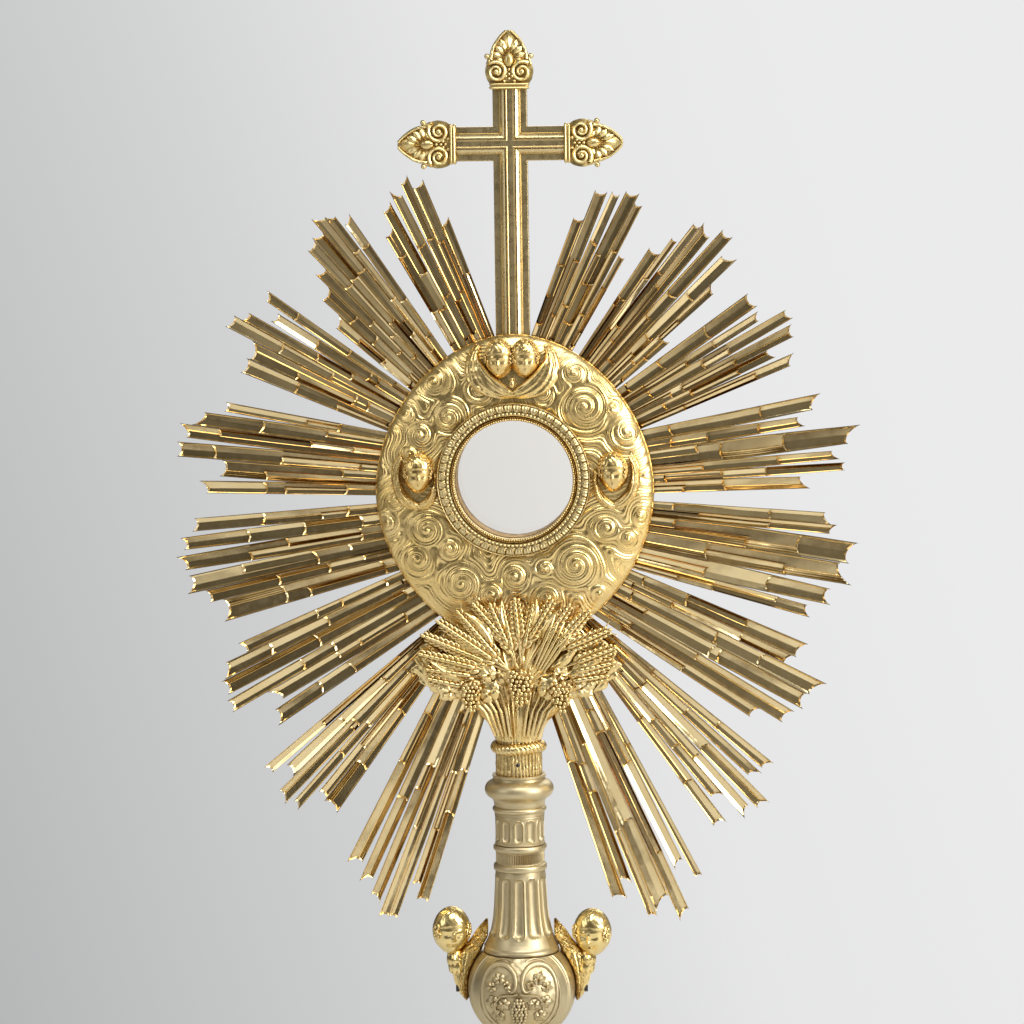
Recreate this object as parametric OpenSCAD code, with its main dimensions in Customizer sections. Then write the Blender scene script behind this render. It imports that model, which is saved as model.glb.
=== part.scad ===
// Sunburst monstrance: a glazed luna chamber in a cloud plate with sixteen clusters of rays, a cross
// above it, a wheat sheaf below it, and a fluted stem on a round domed foot.
// Origin at the centre of the ring that the foot rests on. +Z is up and the front faces -Y.

/* [Foot and stem] */
// Outer radius of the foot
foot_r = 104; // [100:1:108]
// Height of the centre of the round knop
knop_z = 207; // [206:0.5:208]
// Radius of the round knop
knop_r = 32.5; // [32.2:0.1:32.8]
// Flutes round the tall stem
stem_flutes = 12; // [8:1:12]
// Flutes round the short drum
drum_flutes = 12; // [10:1:14]

/* [Cloud plate] */
// Height of the middle of the plate
plate_z = 508; // [506:0.5:510]
// Half the plate's width
plate_a = 83; // [81:0.5:84]
// Half the plate's height
plate_b = 93; // [91:0.5:93]
// Exponent of the plate's outline: 2 is a true ellipse, less makes the shoulders slimmer
plate_power = 1.87; // [1.85:0.01:2]
// Depth of the plate from its rim to its crest
plate_depth = 9.4; // [8.5:0.1:10]

/* [Luna] */
// Height of the centre of the luna
luna_z = 515; // [513:0.5:517]
// Radius of the clear window
luna_r = 35; // [34:0.25:35.5]
// Clear gap between the luna case and its chamber
case_gap = 0.3; // [0.2:0.05:0.4]

/* [Cross] */
// Width of the arms
bar_w = 21.5; // [20:0.5:23]
// Height of the middle of the crossing
cross_z = 713.4; // [710:0.2:716]
// Length of each side arm from the middle to its collar
arm_l = 32; // [30:0.5:34]

/* [Hidden] */

gilt = [0.83, 0.67, 0.33];
pale_gilt = [0.78, 0.69, 0.43];
dark_steel = [0.16, 0.15, 0.14];
glass = [0.85, 0.9, 0.9, 0.35];

// Front-to-back layers, in Y
ray_front = -2;
ray_middle = -0.5;
ray_back = 2.4;
rim_back = -2.1;
rim_front = -3.6;
crest = rim_front - plate_depth;
shell_t = 1.6;
back_y = 2.5;
back_t = 2;
tube_end = 9;
lid_y = 11;
lid_t = 2;

// Heights of the stem's joints, in Z
dome_top = 110;
knop_cut = 22.5;
stem_foot = knop_z + knop_cut;
stem_base = knop_z - knop_cut;
screw_z = knop_z - 0.5;
band_z = 279;
drum_z = 294.5;
collar_z = 312.5;
socket_floor = 318;
socket_top = 337;
shank_top = 358;
stalks_top = 412;
shank_r = 14;
rod_r = 4;
rod_hole_r = 4.6;

// Rings round the luna, as radii
case_r = luna_r + 3;
tube_bore = case_r + case_gap;
tube_r = luna_r + 6;
bezel_in = luna_r + 2.6;
bezel_r = luna_r + 10.5;

// Lid hinge and turn catches
hinge_x = -(tube_r + 2);
hinge_y = lid_y + 0.9;
knuckle_r = 1.9;
pin_r = 0.8;
catch_reach = 46;
catch_y = 13.7;
catch_t = 1.6;

// A cluster of rays per row, from the cross round to the stem. The rays of a cluster fan out from a
// point on the far side of the axis: [point x, point z, first angle, last angle, distance of the
// roots, [distances of the right-hand tips], [distances of the left-hand tips]]. Angles are from +Z.
ray_rows = [
    [-44, 453, 20.5, 30, 145, [232, 252, 254, 259, 254, 222], [232, 258, 264, 259, 254, 240]],
    [-21, 499, 34, 50, 96, [184, 196, 211, 213, 219, 210, 190, 149],
        [209, 216, 220, 212, 210, 195, 184, 168]],
    [-33, 499, 54.2, 67.7, 107, [213, 211, 227, 224, 207, 217], [220, 209, 224, 231, 212, 212]],
    [-138, 501, 78.9, 88.9, 217, [324, 313, 343, 331, 335, 312], [316, 332, 340, 342, 315, 326]],
    [-124, 516, 94.3, 106.1, 200, [312, 316, 329, 327, 320, 310], [319, 327, 330, 328, 318, 311]],
    [-107, 536, 113.5, 124, 176, [305, 300, 324, 320, 316, 298], [299, 315, 319, 322, 296, 302]],
    [-1, 469, 129.5, 144.5, 56, [198, 196, 212, 209, 190, 204], [200, 191, 206, 204, 188, 191]],
    [-40, 559, 152.3, 162.3, 142, [321, 310, 339, 328, 332, 307, 315],
        [310, 317, 325, 333, 331, 308, 316]]
];

// ---- helpers ----

// Points of an arc, from angle a0 to a1
function arc(cx, cy, r, a0, a1, n = 8) =
    [for (i = [0:n]) let (a = a0 + (a1 - a0) * i / n) [cx + r * cos(a), cy + r * sin(a)]];

// Points of the plate's outline, an oval with slim shoulders
function oval(c) = sign(c) * pow(abs(c), 2 / plate_power);
function oval_points(a, b, n = 60) = [for (i = [0:n - 1]) [a * oval(cos(360 * i / n)), b * oval(sin(360 * i / n))]];

// A flat drawing in X and Z, stood upright with its front at y0
module upright(y0, t) {
    translate([0, y0 + t, 0]) rotate([90, 0, 0]) linear_extrude(t) children();
}

// A cylinder that runs front to back
module along_y(x, z, r, y0, y1) {
    translate([x, y1, z]) rotate([90, 0, 0]) cylinder(r = r, h = y1 - y0, $fn = 64);
}

// A flat ring round the luna's axis
module luna_ring(r_out, r_in, y0, y1) {
    difference() {
        along_y(0, luna_z, r_out, y0, y1);
        along_y(0, luna_z, r_in, y0 - 1, y1 + 1);
    }
}

module turned(profile) {
    rotate_extrude($fn = 96) polygon(profile);
}

module hole_down_the_middle(r, z0, z1) {
    translate([0, 0, z0]) cylinder(r = r, h = z1 - z0, $fn = 48);
}

// ---- foot and stem ----

module foot_ring() {
    color(gilt) turned(concat([[foot_r - 16, 0]], arc(foot_r - 6, 6, 6, -90, 90, 12), [[foot_r - 14, 12],
        [foot_r - 14, 3], [foot_r - 16, 3]]));
}

module foot_dome() {
    outer = concat(
        [[foot_r - 14, 12]],
        arc(foot_r - 16, 12, 8, 0, 90),
        [[foot_r - 19, 20], [foot_r - 19, 23]],
        arc(foot_r - 20, 41, 18, -90, -180, 10),
        arc(foot_r - 40, 43.5, 2.5, -90, 90, 6),
        arc(30, 42, 32, 7, 84, 12),
        arc(45, 100, 26, 240, 180, 8),
        arc(19, 104, 4, -90, 90, 8),
        [[17, 108], [17, dome_top]]);
    inner = [[5, dome_top], [5, 104], [14, 104], [16, 98], [20, 80], [30, 72], [56, 50], [62, 38], [80, 20],
        [foot_r - 18, 12]];
    color(gilt) turned(concat(outer, inner));
}

module foot_cover() {
    color(gilt) difference() {
        translate([0, 0, 3]) cylinder(r = foot_r - 14.2, h = 1.5, $fn = 96);
        hole_down_the_middle(12, 2, 6);
    }
}

module tie_rod() {
    color(gilt) hole_down_the_middle(rod_r, 96, 334);
}

// The nut and its washer bear on the underside of the foot's neck
module tie_nut() {
    color(gilt) difference() {
        union() {
            translate([0, 0, 101.9]) cylinder(r = 7.5, h = 2, $fn = 48);
            translate([0, 0, 97]) cylinder(r = 6.8, h = 4.9, $fn = 6);
        }
        hole_down_the_middle(rod_r + 0.05, 90, 110);
    }
}

module lower_stem() {
    outer = concat([[19, dome_top], [19, 114]], arc(15.5, 117, 3, -20, 90, 5),
        [[14.4, 121], [13.9, 130], [14.4, 150], [15.8, 164]], arc(31, 163, 15, 178, 128, 6),
        [[22.5, stem_base - 4], [22.5, stem_base - 1], [20, stem_base]]);
    color(pale_gilt) difference() {
        turned(concat([[5, dome_top]], outer, [[5, stem_base]]));
        for (i = [0:stem_flutes - 1]) rotate(i * 360 / stem_flutes - 90) flute(15.4, 127, 17, 162, 2.3);
    }
}

// The shank of the screw that holds a cherub to the knop
module screw_shank(side, r) {
    translate([side * 25, 0, screw_z]) rotate([0, side * 90, 0]) cylinder(r = r, h = 12.5, $fn = 32);
}

module knop() {
    color(pale_gilt) difference() {
        intersection() {
            translate([0, 0, knop_z]) sphere(r = knop_r, $fn = 96);
            translate([-50, -50, stem_base]) cube([100, 100, 2 * knop_cut]);
        }
        translate([0, 0, knop_z]) sphere(r = knop_r - 3, $fn = 96);
        hole_down_the_middle(10, knop_z - 40, knop_z + 40);
        for (s = [-1, 1]) screw_shank(s, 1.7);
    }
}

// A heart's outline, in X and Z, about its own middle
module heart_outline(r) {
    for (s = [-1, 1]) translate([s * r * 0.46, r * 0.36]) circle(r = r * 0.54, $fn = 48);
    polygon([[-r * 0.96, r * 0.16], [0, -r * 0.93], [r * 0.96, r * 0.16], [0, r * 0.5]]);
}

// A heart-shaped cartouche that lies on the knop's round face
module heart(side) {
    color(pale_gilt) intersection() {
        difference() {
            translate([0, 0, knop_z]) sphere(r = knop_r + 2, $fn = 96);
            translate([0, 0, knop_z]) sphere(r = knop_r, $fn = 96);
        }
        translate([0, side > 0 ? 40 : 0, knop_z]) rotate([90, 0, 0]) linear_extrude(40) heart_outline(24);
    }
}

module heart_front() heart(-1);
module heart_back() heart(1);

// A round-ended groove along a straight line in the X-Z plane, from (r0, z0) to (r1, z1)
module flute(r0, z0, r1, z1, r) {
    tilt = atan2(r1 - r0, z1 - z0);
    translate([r0, 0, z0]) {
        sphere(r = r, $fn = 32);
        rotate([0, tilt, 0]) cylinder(r = r, h = norm([r1 - r0, z1 - z0]), $fn = 32);
    }
    translate([r1, 0, z1]) sphere(r = r, $fn = 32);
}

function bell_profile() = concat([[20, stem_foot], [22.5, stem_foot + 1], [22.5, stem_foot + 3]],
    arc(33, stem_foot + 19, 19, 236, 188, 8), [[14.5, band_z - 1.5], [14.5, band_z]]);

module fluted_stem() {
    color(pale_gilt) difference() {
        turned(concat([[5, stem_foot]], bell_profile(), [[5, band_z]]));
        for (i = [0:stem_flutes - 1]) rotate(i * 360 / stem_flutes - 90)
            flute(18.3, stem_foot + 11, 15.8, band_z - 6, 2.5);
    }
}

module reeded_band() {
    z = band_z;
    color(pale_gilt) turned(concat([[5, z]], arc(14, z + 2, 2, -90, 90, 6), [[14.2, z + 4], [14.2, z + 11.5]],
        arc(14, z + 13.5, 2, -90, 90, 6), [[5, drum_z]]));
}

module fluted_drum() {
    color(pale_gilt) difference() {
        turned([[5, drum_z], [14.8, drum_z], [14.8, drum_z + 1.5], [14.5, drum_z + 2],
            [14.5, collar_z], [5, collar_z]]);
        for (i = [0:drum_flutes - 1]) rotate(i * 360 / drum_flutes - 90)
            flute(15.2, drum_z + 4.2, 15.2, collar_z - 3.4, 1.7);
    }
}

module socket_collar() {
    outer = concat([[15, collar_z]], arc(14.4, collar_z + 3.5, 1.8, -70, 70, 5),
        [[15.2, collar_z + 6], [15.6, collar_z + 8.6], [16.4, collar_z + 9.6]],
        arc(15.4, 328, 5.3, -70, 72, 12), [[15.8, 333.6], [15.6, 335], [16, socket_top]]);
    color(pale_gilt) turned(concat([[rod_hole_r, collar_z]], outer,
        [[shank_r + 0.1, socket_top], [shank_r + 0.1, socket_floor], [rod_hole_r, socket_floor]]));
}

// ---- cherub brackets on the knop ----

module cherub(side) {
    color(gilt) difference() {
        union() {
            hull() {
                translate([side * 42, -2, 244]) sphere(r = 11, $fn = 20);
                translate([side * 43, -6, 235]) sphere(r = 8, $fn = 16);
            }
            hull() {
                translate([side * 41, -1, 230]) sphere(r = 6, $fn = 16);
                translate([side * 36, 0, 216]) sphere(r = 6, $fn = 16);
            }
            hull() {
                translate([side * 35, 0, 219]) sphere(r = 6, $fn = 16);
                translate([side * 22.5, -3, 246]) sphere(r = 2, $fn = 12);
            }
            hull() {
                translate([side * 35, 0, 216]) sphere(r = 6, $fn = 16);
                translate([side * 33.5, 0, 200]) sphere(r = 2.2, $fn = 12);
            }
        }
        translate([0, 0, knop_z]) sphere(r = knop_r + 0.1, $fn = 64);
        translate([0, 0, 190]) cylinder(r = 20.5, h = 80, $fn = 48);
        translate([0, 0, stem_foot - 1]) cylinder(r = 22.7, h = 8, $fn = 48);
        screw_shank(side, 1.7);
        translate([side * 36.2, 0, screw_z]) rotate([0, side * 90, 0]) cylinder(r = 3, h = 20, $fn = 32);
    }
}

module cherub_left() cherub(-1);
module cherub_right() cherub(1);

// One screw a side: its shank passes through the bracket into the knop
module cherub_screws() {
    color(dark_steel) for (s = [-1, 1]) {
        screw_shank(s, 1.6);
        translate([s * 36.3, 0, screw_z]) rotate([0, s * 90, 0]) cylinder(r = 2.6, h = 3.4, $fn = 6);
    }
}

// ---- sheaf ----

module sheaf_shank() {
    color(gilt) difference() {
        hole_down_the_middle(shank_r, socket_floor + 0.1, shank_top);
        hole_down_the_middle(rod_r + 0.1, socket_floor - 1, 336);
    }
}

module rope_tie() {
    color(gilt) difference() {
        rotate_extrude($fn = 96) translate([13.4, 353.5]) circle(r = 3.5, $fn = 32);
        hole_down_the_middle(shank_r, 340, 362);
    }
}

module stalk_slice(z, half_x, y0, y1) {
    translate([0, (y0 + y1) / 2, z]) linear_extrude(0.5)
        polygon(oval_points(half_x, (y1 - y0) / 2, 24));
}

// The right half of the flat fan that backs the ears, in X and Z
fan_edge = [[17, 366], [23, 375], [33, 384], [55, 390], [63, 399], [64, 410], [60, 421], [51, 432],
    [28, 439], [10, 443], [0, 446]];

// The bundle is round at the tie and opens into a half-round fan in front of the rays
module sheaf_stalks() {
    color(gilt) difference() {
        union() {
            hull() {
                stalk_slice(shank_top, shank_r, -shank_r, shank_r);
                stalk_slice(371, 18, -16.5, 14);
            }
            hull() {
                stalk_slice(371, 18, -16.5, 14);
                stalk_slice(390, 27, -18.5, 6);
                stalk_slice(stalks_top - 0.5, 38, -19, 0);
            }
        }
        for (s = [-1, 1]) translate([s > 0 ? 9 : -59, ray_front - 0.2, 366]) cube([50, 30, 60]);
        translate([-10, back_y - 0.1, 366]) cube([20, 30, 60]);
        translate([-60, -12.2, 400]) cube([120, 40, 20]);
    }
    color(gilt) for (s = [0, 1]) mirror([s, 0, 0]) upright(-15.6, 1.4)
        polygon(concat([[-1, 446], [-1, 366]], fan_edge));
}

// The ears fan out from the bundle, in front of the lower part of the plate: [angle, foot x, foot z, length]
ear_rows = [[0, 0, 414, 34], [-14, -7, 412, 33], [13, 8, 412, 33], [-34, -14, 411, 34],
    [31, 15, 411, 36], [-52, -20, 407, 42], [49, 21, 408, 43], [-66, -26, 401, 38],
    [63, 28, 402, 38], [-80, -27, 395, 36], [78, 29, 396, 36]];

module wheat_ears() {
    color(gilt) for (e = ear_rows) translate([e[1], -20.6, e[2]]) rotate([0, e[0], 0]) hull() {
        translate([0, 0, 7]) sphere(r = 1.4, $fn = 8);
        translate([0, 1.2, e[3] * 0.55]) sphere(r = 3.6, $fn = 12);
        translate([0, 1.6, e[3] - 1.5]) sphere(r = 1.4, $fn = 8);
    }
}

// Three bunches of grapes hang on the front of the bundle: [x, z, half width, height]
grape_rows = [[-27, 396, 8.5, 22], [3, 402, 9.5, 25], [28, 397, 8.5, 22]];

module grape_bunches() {
    color(gilt) for (g = grape_rows) hull() {
        translate([g[0], -25.5, g[1] - 3]) sphere(r = 3, $fn = 12);
        for (s = [-1, 1]) translate([g[0] + s * (g[2] - 4), -24.8, g[1] - 4]) sphere(r = 3.6, $fn = 12);
        translate([g[0], -23.6, g[1] - g[3] + 3]) sphere(r = 2.6, $fn = 12);
    }
}

// A vine leaf hangs on each side of the bunches and one lies low over the tie: [x, z, half width, turn, y]
leaf_rows = [[-43, 389.5, 4.9, 35, -17], [44, 390, 4.9, -35, -17], [-14, 385, 6, 20, -20],
    [16, 386, 6, -20, -20]];

module vine_leaves() {
    color(gilt) for (l = leaf_rows) translate([l[0], l[4], l[1]]) rotate([0, l[3], 0])
        translate([0, 0, -l[1]]) upright(0, 1.4) translate([0, l[1]])
            for (a = [0:72:288]) rotate(a) translate([0, l[2] * 0.45]) circle(r = l[2] * 0.5, $fn = 24);
}

// ---- cloud plate and its castings ----

module plate_slice(k, inset, y0, t) {
    upright(y0, t) translate([0, plate_z]) polygon(oval_points(plate_a * k - inset, plate_b * k - inset));
}

module plate_outside() {
    hull() {
        plate_slice(1, 0, rim_front, rim_back - rim_front);
        plate_slice(0.92, 0, crest + 4, 0.1);
        plate_slice(0.7, 0, crest, 0.1);
    }
}

// Posts stand behind the plate and carry its nuts: angles round the plate
post_angles = [20, 55, 75, 105, 127, 163, 197, 233, 305, 340];
post_points = [for (a = post_angles) [plate_a * 0.74 * cos(a), plate_z + plate_b * 0.77 * sin(a)]];

module cloud_plate() {
    color(gilt) {
        difference() {
            plate_outside();
            hull() {
                plate_slice(1, 8, rim_back - 0.5, 1);
                plate_slice(0.92, shell_t, crest + 4 + shell_t, 0.1);
                plate_slice(0.7, shell_t, crest + shell_t, 0.1);
            }
            along_y(0, luna_z, luna_r + 1.5, crest - 1, 0);
        }
        for (p = post_points) along_y(p[0], p[1], 2.2, crest + 3.5, back_y - 0.1);
        for (p = post_points) along_y(p[0], p[1], 1.5, back_y - 0.2, back_y + back_t + 3.4);
    }
}

// A cherub's head with a wing on each side, standing on the plate
module angel_head(x, z, r, turn) {
    translate([x, crest + 2.5, z]) rotate([0, turn, 0]) hull() {
        translate([0, -1, r * 0.3]) sphere(r = r, $fn = 16);
        translate([0, -1.5, -r * 0.5]) sphere(r = r * 0.72, $fn = 12);
    }
}

module angel_wings(x, z, w, h) {
    upright(crest - 1.4, 5) translate([x, z]) polygon([[-w, h * 0.4], [-w * 0.6, -h * 0.35], [0, -h],
        [w * 0.6, -h * 0.35], [w, h * 0.4], [0, h * 0.2]]);
}

module on_the_plate() {
    color(gilt) difference() {
        union() children();
        plate_outside();
        along_y(0, luna_z, bezel_r + 0.2, crest - 12, crest + 6);
    }
}

module angel_pair() {
    on_the_plate() {
        angel_head(-8, 584, 7.4, 8);
        angel_head(8, 584, 7.4, -8);
        angel_wings(0, 577, 15, 12);
    }
}

module angel_side(s) {
    on_the_plate() {
        angel_head(s * 59, 515, 7, 0);
        angel_wings(s * 59, 508, 9.5, 13);
    }
}

module angel_left() angel_side(-1);
module angel_right() angel_side(1);

// ---- window and chamber ----

module bezel_ring() {
    color(gilt) difference() {
        union() {
            luna_ring(bezel_r, bezel_in, crest - 3, crest);
            luna_ring(bezel_r - 1.2, bezel_in, crest - 5, crest - 2.9);
        }
        along_y(0, luna_z, bezel_in, crest - 10, crest + 5);
    }
}

module bead_ring() {
    color(gilt) luna_ring(bezel_in - 0.1, luna_r, crest - 3.4, crest);
}

module chamber_tube() {
    color(pale_gilt) luna_ring(tube_r, tube_bore, crest + shell_t, tube_end);
}

module back_plate() {
    catch_z = [luna_z + catch_reach, luna_z - catch_reach];
    color(gilt) {
        difference() {
            union() {
                upright(back_y, back_t) translate([0, plate_z]) polygon(oval_points(plate_a - 4, plate_b - 4));
                translate([-9, back_y, 367]) cube([18, back_t, 60]);
            }
            along_y(0, luna_z, tube_r + 0.1, -5, 12);
            for (p = post_points) along_y(p[0], p[1], 1.7, 0, 10);
            for (z = [376, 398, 582, 592]) along_y(0, z, 1.6, 0, 10);
        }
        for (z = catch_z) difference() {
            along_y(0, z, 2.4, back_y + back_t - 0.5, catch_y - 0.1);
            along_y(0, z, 1.05, 6, catch_y + 1);
        }
    }
}

// Nuts on the plate's posts, and round-headed screws that hold the sheaf and the cross
module back_nuts() {
    y = back_y + back_t;
    color(gilt) {
        for (p = post_points) difference() {
            translate([p[0], y + 2.4, p[1]]) rotate([90, 0, 0]) cylinder(r = 3.2, h = 2.4, $fn = 6);
            along_y(p[0], p[1], 1.55, 0, 12);
        }
        for (z = [376, 398, 582, 592]) {
            along_y(0, z, 2.8, y, y + 1.6);
            along_y(0, z, 1.5, back_y, y + 0.1);
        }
    }
}

// ---- rays ----

// A ray's outline: straight sides, and a hollowed tip that leaves a horn at each corner
function ray_outline(r0, r1, a0, a1, n = 8) =
    let (hollow = 0.9 * r1 * sin(a1 - a0))
    concat([[r0 * sin(a0), r0 * cos(a0)]],
        [for (i = [0:n]) let (t = i / n, a = a0 + (a1 - a0) * t, r = r1 - hollow * t * (1 - t))
            [r * sin(a), r * cos(a)]],
        [[r0 * sin(a1), r0 * cos(a1)]]);

// How far along its ray the front layer reaches, as a share of the ray's length
function step_share(i, k) = 0.5 + 0.24 * sin(137 * i + 61 * k);

// Each ray laps its neighbours at the back. Its shorter front layer is a little narrower
module ray_cluster(side, k) {
    row = ray_rows[k - 1];
    tips = side > 0 ? row[5] : row[6];
    n = len(tips);
    da = (row[3] - row[2]) / n;
    lap = 0.04;
    inset = 0.1;
    color(gilt) mirror([side > 0 ? 0 : 1, 0, 0]) translate([row[0], 0, row[1]])
        for (i = [0:n - 1]) {
            a0 = row[2] + i * da;
            a1 = a0 + da;
            r0 = row[4] + 0.6 * (i % 2);
            reach = row[4] + (tips[i] - row[4]) * step_share(i, k);
            drop = 0.6 * (i % 2);
            upright(ray_middle + drop, ray_back - ray_middle - drop)
                polygon(ray_outline(r0, tips[i], a0 - lap, a1 + lap));
            upright(ray_front + drop, ray_middle + 0.8 - ray_front - drop)
                polygon(ray_outline(r0 + 1.5, reach, a0 + inset, a1 - inset));
        }
}

// ---- cross ----

// Section of the arms: a flat margin on each side of a raised moulding
module bar_section() {
    h = bar_w / 2;
    polygon([[-h, ray_back], [-h, -0.8], [-h + 3, -0.8], [-h + 3.4, -1.8], [-3.8, -4.4], [3.8, -4.4],
        [h - 3.4, -1.8], [h - 3, -0.8], [h, -0.8], [h, ray_back]]);
}

bar_foot = plate_z + plate_b + 0.2;
arm_top = cross_z + arm_l;

module cross_bar() {
    color(pale_gilt) difference() {
        union() {
            translate([0, 0, bar_foot]) linear_extrude(arm_top - bar_foot) bar_section();
            translate([-arm_l, 0, cross_z]) rotate([0, 90, 0]) linear_extrude(2 * arm_l) bar_section();
            translate([-4.8, 0, 576]) cube([9.6, ray_back, bar_foot - 576 + 1]);
        }
        for (z = [582, 592]) along_y(0, z, 1.2, -1, 5);
    }
}

// A pointed leaf with two scrolled lobes, on a square collar. Its foot is at the origin and it points up
module finial() {
    lobe = 7.4;
    arch = 22;
    translate([0, 1.6, 0]) rotate([90, 0, 0]) linear_extrude(6.6) {
        for (s = [-1, 1]) translate([s * 7, 3.6 + lobe]) circle(r = lobe, $fn = 48);
        translate([0, 15]) intersection() {
            translate([arch - 12.6, 0]) circle(r = arch, $fn = 96);
            translate([12.6 - arch, 0]) circle(r = arch, $fn = 96);
            translate([-20, -6]) square([40, 40]);
        }
    }
    translate([-12.2, -5.6, 0]) cube([24.4, 8.2, 3.7]);
}

module finial_top() {
    color(gilt) translate([0, 0, arm_top]) finial();
}

module finial_right() {
    color(gilt) translate([arm_l, 0, cross_z]) rotate([0, 90, 0]) finial();
}

module finial_left() {
    color(gilt) translate([-arm_l, 0, cross_z]) rotate([0, -90, 0]) finial();
}

// ---- luna case, its lid and the catches ----

front_glass_y = crest + shell_t + 1.4;

// A knuckle of the lid's hinge with the leaf that joins it to its ring
module knuckle(z0, z1, leaf_y0, leaf_y1) {
    translate([hinge_x, hinge_y, luna_z + z0]) cylinder(r = knuckle_r, h = z1 - z0, $fn = 32);
    translate([hinge_x, leaf_y0, luna_z + z0]) cube([4, leaf_y1 - leaf_y0, z1 - z0]);
}

module hinge_bore() {
    translate([hinge_x, hinge_y, luna_z - 20]) cylinder(r = pin_r + 0.05, h = 40, $fn = 24);
}

module luna_case() {
    front = crest + shell_t + 0.4;
    color(pale_gilt) difference() {
        union() {
            luna_ring(case_r, luna_r, front, tube_end + 0.4);
            luna_ring(tube_r, luna_r, tube_end + 0.2, lid_y - 0.2);
            for (s = [[4.2, 9], [-9, -4.2]]) knuckle(s[0], s[1], tube_end + 0.2, lid_y - 0.2);
        }
        along_y(0, luna_z, luna_r + 1.3, front - 1, front_glass_y + 2);
        hinge_bore();
    }
}

module luna_glass_front() {
    color(glass) along_y(0, luna_z, luna_r + 1.2, front_glass_y, front_glass_y + 2);
}

module luna_lid() {
    color(pale_gilt) difference() {
        union() {
            luna_ring(tube_r, luna_r, lid_y, lid_y + lid_t);
            knuckle(-4, 4, lid_y, lid_y + lid_t);
            along_y(tube_r - 3, luna_z, 1.6, lid_y + lid_t - 0.1, lid_y + 5);
            along_y(tube_r - 3, luna_z, 2.6, lid_y + 4.5, lid_y + 6.5);
        }
        along_y(0, luna_z, luna_r + 1.3, lid_y - 1, lid_y + 1.5);
        hinge_bore();
    }
}

module luna_glass_rear() {
    color(glass) along_y(0, luna_z, luna_r + 1.2, lid_y, lid_y + 1.5);
}

// The pin is fixed in the case's knuckles
module lid_pin() {
    color(gilt) {
        translate([hinge_x, hinge_y, luna_z - 9.8]) cylinder(r = pin_r, h = 19.6, $fn = 24);
        for (z = [-10.2, 9.1]) translate([hinge_x, hinge_y, luna_z + z]) cylinder(r = 1.3, h = 1.1, $fn = 24);
    }
}

// A turn catch, parked along the ring. A quarter turn brings its tip over the lid
module turn_catch(z, side) {
    color(gilt) translate([0, catch_y + catch_t, z]) rotate([90, 0, 0]) linear_extrude(catch_t) difference() {
        union() {
            circle(r = 3.4, $fn = 48);
            translate([side > 0 ? 0 : -10, -1.9]) square([10, 3.8]);
            translate([side * 10, 0]) circle(r = 2.4, $fn = 32);
        }
        circle(r = 1.55, $fn = 32);
    }
}

module catch_upper() turn_catch(luna_z + catch_reach, 1);
module catch_lower() turn_catch(luna_z - catch_reach, -1);

// Shouldered screws on which the catches turn
module catch_screws() {
    color(gilt) for (s = [-1, 1]) {
        z = luna_z + s * catch_reach;
        along_y(0, z, 1, 7, catch_y);
        along_y(0, z, 1.5, catch_y - 0.1, catch_y + catch_t + 0.1);
        along_y(0, z, 2.8, catch_y + catch_t + 0.1, catch_y + catch_t + 1.3);
    }
}

foot_ring();
foot_dome();
foot_cover();
tie_rod();
tie_nut();
lower_stem();
knop();
heart_front();
heart_back();
cherub_left();
cherub_right();
cherub_screws();
fluted_stem();
reeded_band();
fluted_drum();
socket_collar();
sheaf_shank();
rope_tie();
sheaf_stalks();
wheat_ears();
vine_leaves();
grape_bunches();
cloud_plate();
angel_pair();
angel_left();
angel_right();
bezel_ring();
bead_ring();
chamber_tube();
back_plate();
back_nuts();
cross_bar();
finial_top();
finial_left();
finial_right();
luna_case();
luna_glass_front();
luna_lid();
luna_glass_rear();
lid_pin();
catch_upper();
catch_lower();
catch_screws();
for (i = [1:8]) {
    ray_cluster(1, i);
    ray_cluster(-1, i);
}
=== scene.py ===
"""Looks of the sunburst monstrance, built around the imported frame.

Lengths are millimetres up to the stage, light and camera, which are in metres. Y points to the rear, so
that the front of a piece has the smaller y.
"""

import bmesh
import bpy
import numpy as np
from mathutils import Matrix, Vector


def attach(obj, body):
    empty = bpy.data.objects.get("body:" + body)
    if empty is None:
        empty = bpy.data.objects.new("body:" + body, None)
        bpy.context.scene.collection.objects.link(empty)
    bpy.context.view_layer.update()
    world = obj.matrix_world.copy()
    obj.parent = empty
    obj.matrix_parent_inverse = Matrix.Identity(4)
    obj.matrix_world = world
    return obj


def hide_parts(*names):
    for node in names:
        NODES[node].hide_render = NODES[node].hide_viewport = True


MM = 0.001
TAU = 2 * np.pi
FORWARD = (0, -1, 0)

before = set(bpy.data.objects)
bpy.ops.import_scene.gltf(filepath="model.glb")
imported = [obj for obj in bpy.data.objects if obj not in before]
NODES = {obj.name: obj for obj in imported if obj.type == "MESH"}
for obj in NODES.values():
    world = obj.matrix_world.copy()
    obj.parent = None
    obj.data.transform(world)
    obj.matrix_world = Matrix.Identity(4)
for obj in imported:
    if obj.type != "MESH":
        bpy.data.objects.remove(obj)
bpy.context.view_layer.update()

# ------------------------------------------------------------------ numbers shared by several pieces

PLATE = dict(z=508.0, a=83.0, b=93.0, power=1.87, rim=-3.6, depth=9.4)
LUNA_Z = 515.0
WINDOW_R = 35.0
KNOP = dict(z=207.0, r=32.5)
CROSS = dict(z=713.4, half=10.2, arm=32.0, foot=113.6)


def rad(degrees):
    """Degrees in radians."""
    return np.radians(degrees)


def smooth(lo, hi, x):
    """0 below lo, 1 above hi, and an S-curve between."""
    t = np.clip((x - lo) / (hi - lo), 0, 1)
    return t * t * (3 - 2 * t)


def bump(x, width):
    """1 at x = 0, fading to nothing over about twice the width."""
    return np.exp(-((x / width) ** 2))


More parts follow.
